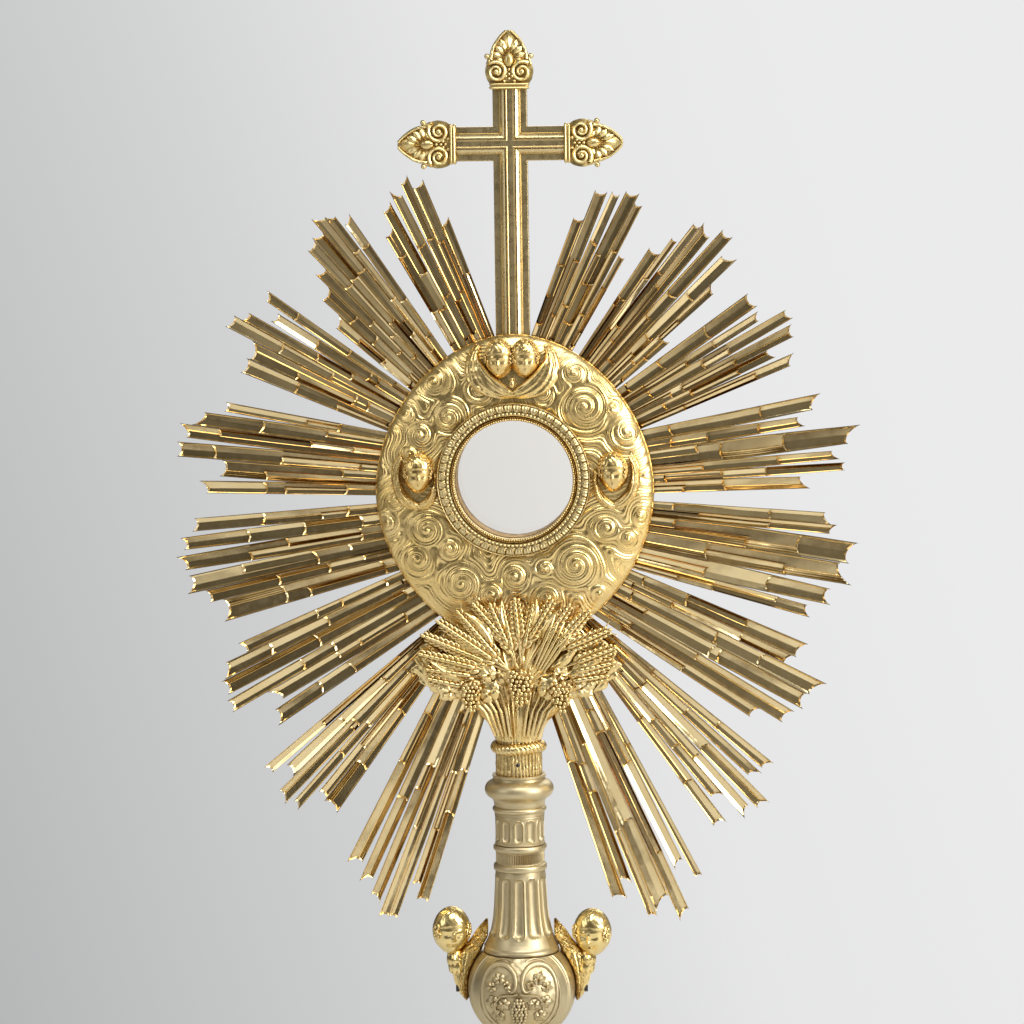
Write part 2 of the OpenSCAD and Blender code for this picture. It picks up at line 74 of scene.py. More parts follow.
def hash01(*keys):
    """A fixed pseudo-random number from 0 to 1 for whole-number keys."""
    value = np.sin(sum(k * w for k, w in zip(keys, (12.9898, 78.233, 37.719, 94.673)))) * 43758.5453
    return value - np.floor(value)


# ------------------------------------------------------------------ mesh helpers


def quads(m, n, wrap_m=False, wrap_n=False):
    """Faces of a grid of m rows and n columns of points. A direction that wraps closes up."""
    i, j = np.meshgrid(np.arange(m if wrap_m else m - 1), np.arange(n if wrap_n else n - 1), indexing="ij")
    i2, j2 = (i + 1) % m, (j + 1) % n
    return np.stack([i * n + j, i * n + j2, i2 * n + j2, i2 * n + j], -1).reshape(-1, 4)


class Shape:
    """Closed lumps of mesh that end up in one object."""

    def __init__(self):
        self.verts, self.faces, self.count = [], [], 0

    def add(self, verts, faces):
        """Points, and faces that count from the first of them."""
        self.verts.append(np.asarray(verts, float).reshape(-1, 3))
        self.faces.extend((np.asarray(f, int) + self.count).tolist() for f in faces)
        self.count += len(self.verts[-1])
        return self

    def slab(self, front, back, wrap=False):
        """A sheet between two grids of points of the same shape. With wrap, its columns close up."""
        m, n = front.shape[:2]
        size = m * n
        sheet = quads(m, n, wrap_n=wrap)
        cols = np.arange(n if wrap else n - 1)
        ahead = (cols + 1) % n
        last = (m - 1) * n
        edges = [(cols, ahead), (last + ahead, last + cols)]
        if not wrap:
            down = np.arange(m - 1) * n
            edges += [(down + n, down), (down + n - 1, down + 2 * n - 1)]
        walls = [np.stack([p, p + size, q + size, q], -1) for p, q in edges]
        faces = np.concatenate([sheet, sheet[:, ::-1] + size, *walls])
        return self.add(np.concatenate([front.reshape(-1, 3), back.reshape(-1, 3)]), faces)

    def capped(self, verts, rows, cols):
        """Rings of points, closed by fans round the last two points: the first pole and the last one."""
        base = self.count
        self.add(verts, quads(rows, cols, wrap_n=True))
        k = np.arange(cols)
        ahead = (k + 1) % cols
        low = (rows - 1) * cols
        first = np.stack([np.full(cols, rows * cols), ahead, k], -1)
        last = np.stack([np.full(cols, rows * cols + 1), low + k, low + ahead], -1)
        self.faces.extend((np.concatenate([first, last]) + base).tolist())
        return self

    def tube(self, path, radius, sides=10, squash=1.0):
        """A round bar along a list of points, closed at both ends by small domes."""
        path = np.asarray(path, float)
        n = len(path)
        radius = np.broadcast_to(np.asarray(radius, float), (n,))
        along = np.gradient(path, axis=0)
        along /= np.linalg.norm(along, axis=1)[:, None] + 1e-12
        ref = np.array([0.0, 1.0, 0.0])
        if abs(along @ ref).max() > 0.97:
            ref = np.array([0.0, 0.0, 1.0])
        side = np.cross(along, ref)
        side /= np.linalg.norm(side, axis=1)[:, None] + 1e-12
        up = np.cross(side, along)
        a = np.arange(sides) * TAU / sides
        ring = side[:, None] * np.cos(a)[None, :, None] + squash * up[:, None] * np.sin(a)[None, :, None]
        body = path[:, None] + ring * radius[:, None, None]
        ends = [path[0] - along[0] * radius[0] * 0.6, path[-1] + along[-1] * radius[-1] * 0.6]
        return self.capped(np.concatenate([body.reshape(-1, 3), ends]), n, sides)

    def ball(self, centre, r, rows=7, cols=10, stretch=(1, 1, 1), axis=None):
        """A round bead, or an oval one with stretch, its poles along axis."""
        p = np.linspace(0, np.pi, rows + 2)[1:-1]
        a = np.arange(cols) * TAU / cols
        grid = np.stack([np.sin(p)[:, None] * np.cos(a), np.sin(p)[:, None] * np.sin(a),
                         np.cos(p)[:, None] + 0 * a], -1)
        pts = np.concatenate([grid.reshape(-1, 3), [[0, 0, 1], [0, 0, -1]]]) * np.asarray(stretch) * r
        if axis is not None:
            pts = pts @ basis(axis).T
        return self.capped(pts + np.asarray(centre), rows, cols)

    def build(self, name, body, slot, material, replaces=(), sharp=38):
        """Makes the Blender object, in metres, riding on a body."""
        mesh = bpy.data.meshes.new(name)
        mesh.from_pydata((np.concatenate(self.verts) * MM).tolist(), [], self.faces)
        tidy = bmesh.new()
        tidy.from_mesh(mesh)
        bmesh.ops.recalc_face_normals(tidy, faces=tidy.faces)
        tidy.to_mesh(mesh)
        tidy.free()
        mesh.shade_smooth()
        mesh.set_sharp_from_angle(angle=rad(sharp))
        mesh.materials.append(material)
        piece = bpy.data.objects.new(name, mesh)
        bpy.context.scene.collection.objects.link(piece)
        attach(piece, body)
        if replaces:
            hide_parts(*replaces)
        return piece


def basis(axis):
    """Columns are two sideways directions and the axis."""
    w = np.asarray(axis, float)
    w = w / np.linalg.norm(w)
    u = np.cross([0.0, 1.0, 0.0] if abs(w[1]) < 0.9 else [1.0, 0.0, 0.0], w)
    u /= np.linalg.norm(u)
    return np.stack([u, np.cross(w, u), w], -1)


# ------------------------------------------------------------------ materials


class Nodes:
    """Short ways to wire a material."""

    def __init__(self, name):
        self.material = bpy.data.materials.new(name)
        self.material.use_nodes = True
        self.tree = self.material.node_tree
        self.bsdf = self.tree.nodes["Principled BSDF"]
        self.place = self.add("ShaderNodeTexCoord").outputs["Object"]

    def add(self, kind, **values):
        """A new node with some of its properties set."""
        node = self.tree.nodes.new(kind)
        for key, value in values.items():
            setattr(node, key, value)
        return node

    def link(self, out, socket):
        self.tree.links.new(out, socket)

    def noise(self, scale, detail=3.0, rough=0.55, stretch=(1, 1, 1)):
        """Fractal noise; scale is in features per metre."""
        mapping = self.add("ShaderNodeMapping")
        mapping.inputs["Scale"].default_value = stretch
        self.link(self.place, mapping.inputs["Vector"])
        tex = self.add("ShaderNodeTexNoise")
        tex.inputs["Scale"].default_value = scale
        tex.inputs["Detail"].default_value = detail
        tex.inputs["Roughness"].default_value = rough
        self.link(mapping.outputs["Vector"], tex.inputs["Vector"])
        return tex.outputs["Fac"]

    def ramp(self, value, stops):
        """A colour for each value; stops is a list of (value, colour)."""
        node = self.add("ShaderNodeValToRGB")
        ramp = node.color_ramp
        while len(ramp.elements) < len(stops):
            ramp.elements.new(0.5)
        for element, (at, colour) in zip(ramp.elements, stops):
            element.position = at
            element.color = (*colour, 1)
        self.link(value, node.inputs["Fac"])
        return node.outputs["Color"]

    def remap(self, value, lo, hi, to_lo, to_hi):
        """The range lo to hi turned into to_lo to to_hi, and held at its ends."""
        node = self.add("ShaderNodeMapRange")
        for key, number in (("From Min", lo), ("From Max", hi), ("To Min", to_lo), ("To Max", to_hi)):
            node.inputs[key].default_value = number
        self.link(value, node.inputs["Value"])
        return node.outputs["Result"]

    def mix(self, factor, a, b, blend="MIX"):
        """Colour a blended with b; each value is an output of another node, a number or a colour."""
        node = self.add("ShaderNodeMix", data_type="RGBA", blend_type=blend)
        for socket, value in ((node.inputs[0], factor), (node.inputs[6], a), (node.inputs[7], b)):
            if isinstance(value, (int, float)):
                socket.default_value = value
            elif isinstance(value, tuple):
                socket.default_value = (*value, 1)
            else:
                self.link(value, socket)
        return node.outputs[2]

    def bumps(self, *layers):
        """Each layer is (height, strength, distance in metres)."""
        normal = None
        for height, strength, distance in layers:
            node = self.add("ShaderNodeBump")
            node.inputs["Strength"].default_value = strength
            node.inputs["Distance"].default_value = distance
            self.link(height, node.inputs["Height"])
            if normal is not None:
                self.link(normal, node.inputs["Normal"])
            normal = node.outputs["Normal"]
        self.link(normal, self.bsdf.inputs["Normal"])


def gold(name, light, dark, rough, spread=0.05, hollow=0.55, grain=(900, 0.10), brush=None, metal=1.0):
    """Gilt brass: a mottled tone, painted shade that darkens and yellows the hollows by ambient occlusion, a
    fine grain, and brush lines if asked.

    light and dark are the two tones, hollow is how bright the painted shade leaves the deepest hollows, grain
    is its scale and strength, brush is a stretch that lays lines along one direction, metal is how metallic
    it is.
    """
    m = Nodes(name)
    tone = m.ramp(m.noise(55, 4.0), [(0.3, dark), (0.7, light)])
    # Painted shade: an ambient occlusion mask darkens the colour in hollows and creases, where shade falls.
    near = m.add("ShaderNodeAmbientOcclusion", samples=4)
    near.inputs["Distance"].default_value = 0.003
    shade = m.remap(near.outputs["AO"], 0.35, 0.95, hollow, 1.0)
    # The darker, yellower colour that the painted shade mixes into the hollows.
    hollow_shade_colour = tuple(c * k for c, k in zip(dark, (0.72, 0.56, 0.34)))
    colour = m.mix(m.remap(near.outputs["AO"], 0.25, 0.85, 1.0, 0.0), tone, hollow_shade_colour)
    grey = m.add("ShaderNodeCombineColor")
    for socket in grey.inputs[:3]:
        m.link(shade, socket)
    m.link(m.mix(1.0, colour, grey.outputs[0], "MULTIPLY"), m.bsdf.inputs["Base Color"])
    m.bsdf.inputs["Metallic"].default_value = metal
    wear = m.noise(220, 3.0, 0.6)
    m.link(m.remap(wear, 0.3, 0.7, rough - spread, rough + spread), m.bsdf.inputs["Roughness"])
    scale, strength = grain
    layers = [(m.noise(scale, 3.0, 0.6), strength, 0.0002)]
    if brush:
        layers.append((m.noise(1400, 2.0, 0.5, brush), 0.22, 0.00012))
    m.bumps(*layers)
    return m.material


def glass_material():
    """Clear glass with a faint haze."""
    m = Nodes("clear_glass")
    m.bsdf.inputs["Base Color"].default_value = (0.97, 0.985, 0.98, 1)
    m.bsdf.inputs["Transmission Weight"].default_value = 1.0
    m.bsdf.inputs["IOR"].default_value = 1.46
    haze = m.noise(60, 3.0)
    m.link(m.remap(haze, 0.35, 0.75, 0.0, 0.03), m.bsdf.inputs["Roughness"])
    m.bumps((m.noise(18, 1.0), 0.02, 0.0004))
    return m.material


def steel_material():
    """Dark screws and pins."""
    m = Nodes("dark_steel")
    m.link(m.ramp(m.noise(260), [(0.3, (0.035, 0.032, 0.03)), (0.75, (0.10, 0.09, 0.08))]),
           m.bsdf.inputs["Base Color"])
    m.bsdf.inputs["Metallic"].default_value = 0.85
    m.link(m.remap(m.noise(500), 0.3, 0.7, 0.32, 0.5), m.bsdf.inputs["Roughness"])
    m.bumps((m.noise(1200), 0.2, 0.0002))
    return m.material


RAY_GOLD = gold("ray_gold", (0.89, 0.73, 0.42), (0.83, 0.65, 0.34), 0.14, hollow=0.8, grain=(260, 0.05))
PLATE_GOLD = gold("plate_gold", (0.86, 0.66, 0.31), (0.80, 0.58, 0.22), 0.27, spread=0.07, hollow=0.72,
                  grain=(700, 0.14))
SHEAF_GOLD = gold("sheaf_gold", (0.88, 0.70, 0.36), (0.80, 0.60, 0.24), 0.27, spread=0.07, hollow=0.75,
                  grain=(800, 0.14))
STEM_GOLD = gold("stem_gold", (0.66, 0.56, 0.35), (0.59, 0.49, 0.285), 0.44, hollow=0.7, grain=(1500, 0.12))
CAST_GOLD = gold("casting_gold", (0.93, 0.75, 0.36), (0.88, 0.68, 0.28), 0.225, hollow=0.85,
                 grain=(500, 0.08))
BEZEL_GOLD = gold("bezel_gold", (0.74, 0.60, 0.31), (0.62, 0.48, 0.22), 0.30, grain=(900, 0.12))
TUBE_GOLD = gold("tube_gold", (0.64, 0.40, 0.11), (0.56, 0.33, 0.08), 0.58, hollow=0.85,
                 grain=(500, 0.06), metal=0.6)
CROSS_GOLD = gold("cross_gold", (0.76, 0.62, 0.34), (0.68, 0.54, 0.28), 0.29, hollow=0.7,
                  grain=(600, 0.08), brush=(40, 40, 1.2))
FINIAL_GOLD = gold("finial_gold", (0.82, 0.67, 0.34), (0.74, 0.59, 0.26), 0.32, hollow=0.95,
                   grain=(500, 0.08))
GLASS = glass_material()
STEEL = steel_material()

# ------------------------------------------------------------------ rays

# A cluster per row, from the cross round to the stem: [x and z of the fan point, first angle, last angle,
# distance of the roots, distances of the tips on the right, the same on the left]. Angles are from +Z.
RAY_ROWS = [
    [-44, 453, 20.5, 30, 145, [232, 252, 254, 259, 254, 222], [232, 258, 264, 259, 254, 240]],
    [-21, 499, 34, 50, 96, [184, 196, 211, 213, 219, 210, 190, 149],
     [209, 216, 220, 212, 210, 195, 184, 168]],
    [-33, 499, 54.2, 67.7, 107, [213, 211, 227, 224, 207, 217], [220, 209, 224, 231, 212, 212]],
    [-138, 501, 78.9, 88.9, 217, [324, 313, 343, 331, 335, 312], [316, 332, 340, 342, 315, 326]],
    [-124, 516, 94.3, 106.1, 200, [312, 316, 329, 327, 320, 310], [319, 327, 330, 328, 318, 311]],
    [-107, 536, 113.5, 124, 176, [305, 300, 324, 320, 316, 298], [299, 315, 319, 322, 296, 302]],
    [-1, 469, 129.5, 144.5, 56, [198, 196, 212, 209, 190, 204], [200, 191, 206, 204, 188, 191]],
    [-40, 559, 152.3, 162.3, 142, [321, 310, 339, 328, 332, 307, 315],
     [310, 317, 325, 333, 331, 308, 316]],
]

# Sections across a strip: (share of its width, share of its depth). 0 is a ridge, 1 the floor
RAY_SECTIONS = [
    [(0, 0), (0.05, 0), (0.13, 0.8), (0.5, 1), (0.87, 0.8), (0.95, 0), (1, 0)],
    [(0, 0), (0.05, 0), (0.10, 0.75), (0.40, 1), (0.45, 0.35), (0.50, 0.8), (0.90, 0.6), (0.95, 0), (1, 0)],
    [(0, 0), (0.05, 0), (0.36, 1), (0.90, 0.35), (0.95, 0), (1, 0)],
    [(0, 0), (0.05, 0), (0.12, 0.45), (0.62, 1), (0.88, 0.7), (0.95, 0), (1, 0)],
    [(0, 0), (0.05, 0), (0.10, 0.7), (0.60, 0.95), (0.64, 0.4), (0.69, 0.75), (0.74, 0.3), (0.79, 0.7),
     (0.84, 0.2), (0.90, 0.6), (0.95, 0), (1, 0)],
]
# Where every strip has its columns of points, as shares of its width
RAY_COLUMNS = np.array([0, .05, .075, .10, .13, .22, .31, .36, .40, .45, .50, .56, .60, .64, .69, .74, .79,
                        .84, .87, .90, .925, .95, 1])


def ray_strip(shape, fan, a0, a1, near, far, level, section, hollow, lean, gaps, seed):
    """One channelled strip of a ray, from near to far, with a hollowed and lipped end.

    gaps is (left, right, where they start, full length): how much of its width each side gives up."""
    knots = np.array(RAY_SECTIONS[section])
    t = RAY_COLUMNS
    if hash01(seed, 3) > 0.5:
        knots = knots[::-1] * [-1, 1] + [1, 0]
        t = 1 - RAY_COLUMNS[::-1]
    depth = np.interp(t, knots[:, 0], knots[:, 1])
    width = far * rad(a1 - a0)
    cuts = max(3, int((far - near) / 6))
    end = far - hollow * width * (4 * t * (1 - t)) ** 0.7 * 0.5 + lean * width * (t - 0.5)
    rows = [(near + (end - 1.0 - near) * k / cuts, 1.0) for k in range(cuts + 1)]
    rows += [(end - 0.45, 0.5), (end, 0.05)]
    left, right, start, full = gaps
    front = []
    for r, flatten in rows:
        open_up = np.clip((r - start) / (full - start + 1e-9), 0, 1)
        s = left * open_up + t * (1 - (left + right) * open_up)
        a = rad(a0 + (a1 - a0) * s)
        wave = (0.07 * np.sin(r * 0.10 + 7 * hash01(seed, 5) + 2.5 * t)
                + 0.035 * np.sin(r * 0.33 + 9 * hash01(seed, 6) + 4 * t))
        tilt = (hash01(seed, 8) - 0.5) * 0.7 * (t - 0.5)
        y = level + 1.2 * depth * flatten + wave * flatten * (depth > 0.3) + tilt
        front.append(np.stack([fan[0] + r * np.sin(a), y + 0 * a, fan[1] + r * np.cos(a)], -1))
    front = np.array(front)
    shape.slab(front, front + np.array([0, 0.7, 0]))


def ray_cluster(side, k):
    """A fan of strips, made for the right side and mirrored for the left.

    A strip is made of three or four lengths, each a little behind the one before it. Where a length
    covers only a part of the strip's width, the next one starts from the same place beside it."""
    fan_x, fan_z, first, last, root, right_tips, left_tips = RAY_ROWS[k]
    tips = right_tips if side > 0 else left_tips
    n = len(tips)
    seed = 17 * k + (5 if side > 0 else 0)
    weights = np.array([1 + 0.8 * (hash01(seed, i) - 0.5) for i in range(n)])
    edges = first + (last - first) * np.concatenate([[0], np.cumsum(weights) / weights.sum()])
    gap = [0.16 if 0 < i < n and hash01(seed, i, 9) > 0.5 else 0.01 for i in range(n + 1)]
    shape = Shape()
    for i, tip in enumerate(tips):
        key = seed * 13 + i
        steps = 2 + int(hash01(key, 1) > 0.4)
        reach = tip - root
        stops = [root + reach * (s + 0.75) / (steps + 0.85) + reach * 0.24 * (hash01(key, 2, s) - 0.5)
                 for s in range(steps)] + [tip]
        near = root
        base = -1.95 + 0.3 * (i % 2)
        span = edges[i + 1] - edges[i]
        for s, stop in enumerate(stops):
            last_one = s == len(stops) - 1
            part = 0 if last_one else max(0, int(hash01(key, 12, s) * 6.0) - 3)
            from_edge, to_edge = ((0, 1), (0, 0.55), (0.45, 1))[part]
            lean = (hash01(key, 6, s) - 0.5) * (1.3 if last_one else 0.6)
            far = stop - (abs(lean) * 1.5 if last_one else 0)
            section = int(hash01(key, 4, s) * 5.99) % 5
            gaps = (gap[i] * (from_edge == 0), gap[i + 1] * (to_edge == 1), root + reach * 0.5, tip)
            ray_strip(shape, (fan_x, fan_z), edges[i] + span * from_edge, edges[i] + span * to_edge, near,
                      far, base + 0.62 * s, section, 0.55 if last_one else 0.45, lean, gaps, key * 7 + s)
            if part == 0:
                near = stop - 3.0
    side_name = "right" if side > 0 else "left"
    if side < 0:
        shape.verts = [v * np.array([-1, 1, 1]) for v in shape.verts]
    shape.build(f"ray_cluster_{side_name}_{k + 1}", "stand", "polished_rays", RAY_GOLD,
                [f"rays_{side_name}_{k + 1}"], sharp=20)


for row in range(len(RAY_ROWS)):
    ray_cluster(1, row)
    ray_cluster(-1, row)

# ------------------------------------------------------------------ cloud plate

# Whorls of cloud: (x, z, radius, which way it winds)
WHORLS = [
    (42.7, 557.6, 12.6, 1), (-38.3, 552.4, 8.8, -1), (-54.9, 541.5, 7.8, 1), (-47, 573.5, 8.5, 1),
    (-64, 555, 5.5, -1), (-52, 485.5, 9.6, -1), (-38.5, 474, 6.2, 1), (-58, 467.5, 8.4, 1),
    (-32, 453, 11, -1), (0, 457, 7.5, 1), (36, 463.5, 13.2, -1), (55, 485.5, 6, 1), (19.5, 444, 8, 1),
    (68, 542.5, 8, -1), (17.5, 566, 5.8, 1), (-76, 489, 4.2, 1), (67.5, 479, 4.8, -1), (75, 492, 4.2, 1),
    (37, 578, 6.5, -1), (-62, 531, 4.5, -1), (60, 557, 5, 1), (-14, 446, 7, 1), (50, 446, 6, 1),
    (-20, 569, 4.5, 1), (-70, 503, 4, -1), (18, 462, 4.6, -1),
]


def plate_share(x, z):
    """0 in the middle of the plate, 1 on its outline, an oval with slim shoulders."""
    n = PLATE["power"]
    return (np.abs(x / PLATE["a"]) ** n + np.abs((z - PLATE["z"]) / PLATE["b"]) ** n) ** (1 / n)


def plate_dome(x, z):
    """The plate's plain front without any relief, in Y."""
    q = np.clip(plate_share(x, z), 0, 1)
    return PLATE["rim"] - PLATE["depth"] * np.clip(1 - q ** 6, 0, 1) ** 0.6


def cloud_relief(x, z):
    """Height of the clouds' curls over the plain dome."""
    field = np.full_like(x, 60.0)
    inside = np.zeros_like(x)
    whorls = np.zeros_like(x)
    for cx, cz, size, turn in WHORLS:
        r = size * 1.12
        d = np.hypot(x - cx, z - cz)
        angle = np.arctan2(z - cz, x - cx)
        field = np.minimum(field, d - r) - 1.1 * np.maximum(0, 1 - np.abs(field - (d - r)) / 4.0) ** 2
        mask = 1 - smooth(0.86 * r, 1.06 * r, d)
        pitch = (3.6 if r > 7 else 2.8) * (1 + 0.25 * np.clip(d / r, 0, 1))
        phase = TAU * d / pitch - turn * angle
        ridge = 0.5 + 0.5 * np.cos(phase)
        strands = 0.5 + 0.5 * np.cos(3 * phase + 0.8)
        open_side = 0.62 + 0.38 * np.cos(angle - cx * 0.9)
        crown = 1.3 * np.clip(1 - (d / r) ** 2, 0, 1)
        curl_height = 0.66 * open_side * ridge + 0.30 * strands + crown + 0.6 * bump(d, 1.2)
        whorls = np.maximum(whorls, mask * curl_height)
        inside = np.maximum(inside, mask)
    drift = 1.4 * np.sin(x * 0.11 + 1.3) * np.cos(z * 0.09) + 0.9 * np.sin(z * 0.21 + x * 0.07)
    flow = TAU * (field + drift) / 1.75
    strands = 0.5 + 0.5 * np.cos(flow)
    folds = 0.5 + 0.5 * np.cos(TAU * (field + 1.6 * drift) / 7.4)
    return whorls + (1 - inside) * (0.36 * strands + 0.75 * folds)


def plate_front(x, z):
    """Front surface of the plate, in Y: its clouds fade at the rim, under the heads and at the bezel."""
    share = smooth(1.0, 0.93, plate_share(x, z))
    for cx, cz, r in ((0, 580, 22), (-58, 513, 13), (60, 513, 13)):
        share = share * (0.25 + 0.75 * smooth(r * 0.8, r * 1.25, np.hypot(x - cx, z - cz)))
    share = share * smooth(43, 47, np.hypot(x, z - LUNA_Z))
    return plate_dome(x, z) - share * (cloud_relief(x, z) - 0.55) * 0.9


def cloud_plate():
    """A finely modelled front on a plain back with a quarter of its columns."""
    turns, rings, step, hole_r, edge_y = 1200, 136, 4, 37.2, -2.2
    few = turns // step
    a = np.arange(turns) * TAU / turns
    across, up = (np.sign(q) * np.abs(q) ** (2 / PLATE["power"]) for q in (np.cos(a), np.sin(a)))
    rim = np.stack([PLATE["a"] * across, PLATE["z"] + PLATE["b"] * up], -1)
    hole = np.stack([hole_r * np.cos(a), LUNA_Z + hole_r * np.sin(a)], -1)

    def grid(s, every):
        """x and z of points at the shares s of the way from the hole to the rim."""
        flat = hole[None, ::every] + (rim - hole)[None, ::every] * s[:, None, None]
        return flat[..., 0], flat[..., 1]

    x, z = grid(np.linspace(0, 1, rings), 1)
    front = np.concatenate([np.stack([x, plate_front(x, z), z], -1),
                            np.stack([rim[:, 0], np.full(turns, edge_y - 0.1), rim[:, 1]], -1)[None]])
    x, z = grid(np.array([0, 0.2, 0.45, 0.65, 0.8, 0.9, 0.96, 1.0]), step)
    y = np.minimum(plate_dome(x, z) + 1.5, edge_y)
    y[-1] = edge_y
    back = np.stack([x * 0.985, y, PLATE["z"] + (z - PLATE["z"]) * 0.985], -1)
    shape = Shape()
    shape.add(front, quads(rings + 1, turns, wrap_n=True))
    shape.add(back, quads(len(back), few, wrap_n=True)[:, ::-1])
    start = (rings + 1) * turns
    last_ring = start + (len(back) - 1) * few
    for i in range(few):
        along = [(step * i + k) % turns for k in range(step + 1)]
        ahead = (i + 1) % few
        shape.faces.append([start + i, *along, start + ahead])
        shape.faces.append([last_ring + i, *(rings * turns + k for k in along), last_ring + ahead])
    shape.build("cloud_relief_plate", "stand", "gilt_brass", PLATE_GOLD, ["cloud_plate"], sharp=60)


cloud_plate()

# ------------------------------------------------------------------ bezel and beads


def luna_band(name, rows, replaces, material, turns, sharp=40):
    """A ring round the luna's axis. rows gives (radius, y) arrays over the angle, front then back."""
    a = np.arange(turns) * TAU / turns
    grid = []
    for r, y in rows(a):
        r = np.broadcast_to(r, a.shape)
        grid.append(np.stack([r * np.sin(a), np.broadcast_to(y, a.shape), LUNA_Z + r * np.cos(a)], -1))
    grid = np.array(grid)
    shape = Shape()
    shape.add(grid.reshape(-1, 3), quads(len(grid), turns, wrap_m=True, wrap_n=True))
    shape.build(name, "stand", "antique_gilt", material, replaces, sharp)


BEZEL_LEAVES = 52


def bezel_rows(a):
    """From the inside: a lip, a fine toothed ring with two teeth to a leaf, the leaves and a bead."""
    leaf = a * BEZEL_LEAVES / TAU
    across = np.abs((leaf - np.floor(leaf)) - 0.5) * 2
    teeth = a * 2 * BEZEL_LEAVES / TAU
    tooth = np.abs((teeth - np.floor(teeth)) - 0.5) * 2
    yield from ((37.65, -12.6), (37.65, -15.4), (38.0, -16.0), (38.4, -16.4))
    for r in np.linspace(38.5, 40.1, 5):
        s = (r - 38.5) / 1.6
        yield r, -16.35 - 0.55 * np.sin(np.pi * s) * smooth(0.9, 0.45, tooth + 0.35 * s)
    for r in np.linspace(40.3, 44.3, 15):
        s = (r - 40.3) / 4.0
        swell = 1.35 * np.sin(np.pi * (0.12 + 0.76 * s)) ** 0.7
        half = 0.86 * np.sqrt(np.clip(1 - ((0.75 - s) / 0.8) ** 2, 0, 1)) if s < 0.75 else 0.86
        rim = bump(across - half * 0.80, 0.20) * 0.38
        midrib = bump(across, 0.26) * 0.4
        groove = -0.5 * smooth(half, half + 0.12, across)
        yield r, -15.7 - swell * 0.9 - rim - midrib - groove
    yield from ((44.6, -16.2), (44.8, -16.6), (45.1, -16.8), (45.4, -16.6), (45.5, -16.0), (45.5, -12.2))


def bead_rows(a):
    """A plain channel for the beads, the same all the way round."""
    return [(WINDOW_R + out, y) for out, y in ((2.4, -12.6), (2.4, -16.0), (2.15, -16.35), (1.9, -16.15),
                                               (1.6, -15.5), (0.6, -15.5), (0.1, -15.0), (0, -14.2),
                                               (0, -12.6))]


luna_band("leaf_bezel", bezel_rows, ["bezel_ring"], BEZEL_GOLD, turns=BEZEL_LEAVES * 24, sharp=50)
luna_band("bead_seat", bead_rows, [], SHEAF_GOLD, turns=240)
beads = Shape()
BEADS = 158
BEAD_CIRCLE = 35.85
for i in range(BEADS):
    a = TAU * i / BEADS
    beads.ball((BEAD_CIRCLE * np.sin(a), -16.1, LUNA_Z + BEAD_CIRCLE * np.cos(a)), 0.72, 6, 9, axis=(0, 1, 0))
beads.build("bead_string", "stand", "antique_gilt", SHEAF_GOLD, ["bead_ring"], sharp=80)

# ------------------------------------------------------------------ blades, curls and heads


def unit(v):
    """A vector of length 1 in the direction of v."""
    v = np.asarray(v, float)
    return v / (np.linalg.norm(v) + 1e-12)


def eased(points, count, times, knots=None):
    """A smooth line through a few drawn points: count values of each of their coordinates."""
    points = np.array(points, float)
    if knots is None:
        knots = np.linspace(0, 1, len(points))
    line = np.array([np.interp(np.linspace(0, 1, count), knots, column) for column in points.T])
    for _ in range(times):
        line[:, 1:-1] = (line[:, :-2] + 2 * line[:, 1:-1] + line[:, 2:]) / 4
    return line


def outline_width(kind, t):
    """Half width along a blade, 1 at its widest."""
    if kind == "feather":
        round_end = np.sqrt(np.clip(1 - ((t - 0.6) / 0.4) ** 2, 0, 1))
        return np.where(t > 0.6, round_end, 0.55 + 0.75 * t) * 0.97 + 0.03
    if kind == "petal":
        return np.sin(np.pi * np.clip(t, 0, 1) ** 1.5) ** 0.75 * 0.95 + 0.05
    if kind == "grass":
        return (1 - t) ** 0.6 * 0.9 + 0.1
    return np.sin(np.pi * np.clip(t, 0, 1) ** 0.8) ** 0.8 * 0.95 + 0.05


def blade(shape, root, tip, width, kind="leaf", face=FORWARD, arch=0.8, cup=0.4, rib=0.35, veins=0,
          bend=0.0, thick=0.7, n=15, m=9):
    """A leaf, petal or feather from root to tip that looks along face: it arches up along its length,
    cups across, has a midrib and, with veins, slanted grooves. bend bows it sideways."""
    root, tip = np.asarray(root, float), np.asarray(tip, float)
    along = unit(tip - root)
    out = unit(np.asarray(face, float) - along * (np.asarray(face, float) @ along))
    side = np.cross(out, along)
    t, s = np.meshgrid(np.linspace(0, 1, n), np.linspace(-1, 1, m), indexing="ij")
    w = outline_width(kind, t) * width / 2
    height = arch * np.sin(np.pi * t) - cup * s ** 2 + rib * np.exp(-(s / 0.16) ** 2) * (1 - t ** 3)
    if veins:
        grooves = np.sin(TAU * veins * (t - 0.22 * np.abs(s)))
        height += 0.22 * grooves * (np.abs(s) > 0.12) * np.abs(s) ** 0.3
    pts = (root + (tip - root) * t[..., None] + side * (s * w + bend * np.sin(np.pi * t))[..., None]
           + out * height[..., None])
    shape.slab(pts, pts - out * thick)


def curl(shape, centre, face, r, turn, start, turns=1.4, thick=0.42):
    """A lock of hair: a bar wound inwards, rising to a bead in its middle. turn is 1 or -1."""
    u, v, out = basis(face).T
    a = np.linspace(0, TAU * turns, int(13 * turns) + 6)
    radius = r * (1 - 0.80 * a / a[-1]) - r * thick * 0.5
    spiral = (u * (radius * np.cos(turn * a + start))[:, None]
              + v * (radius * np.sin(turn * a + start))[:, None]
              + out * (r * 0.35 * a / a[-1])[:, None])
    shape.tube(np.asarray(centre) + spiral, r * thick * np.linspace(1, 0.75, len(a)) * 0.6, 7)
    shape.ball(np.asarray(centre) + out * r * 0.35, r * 0.26, 4, 7)


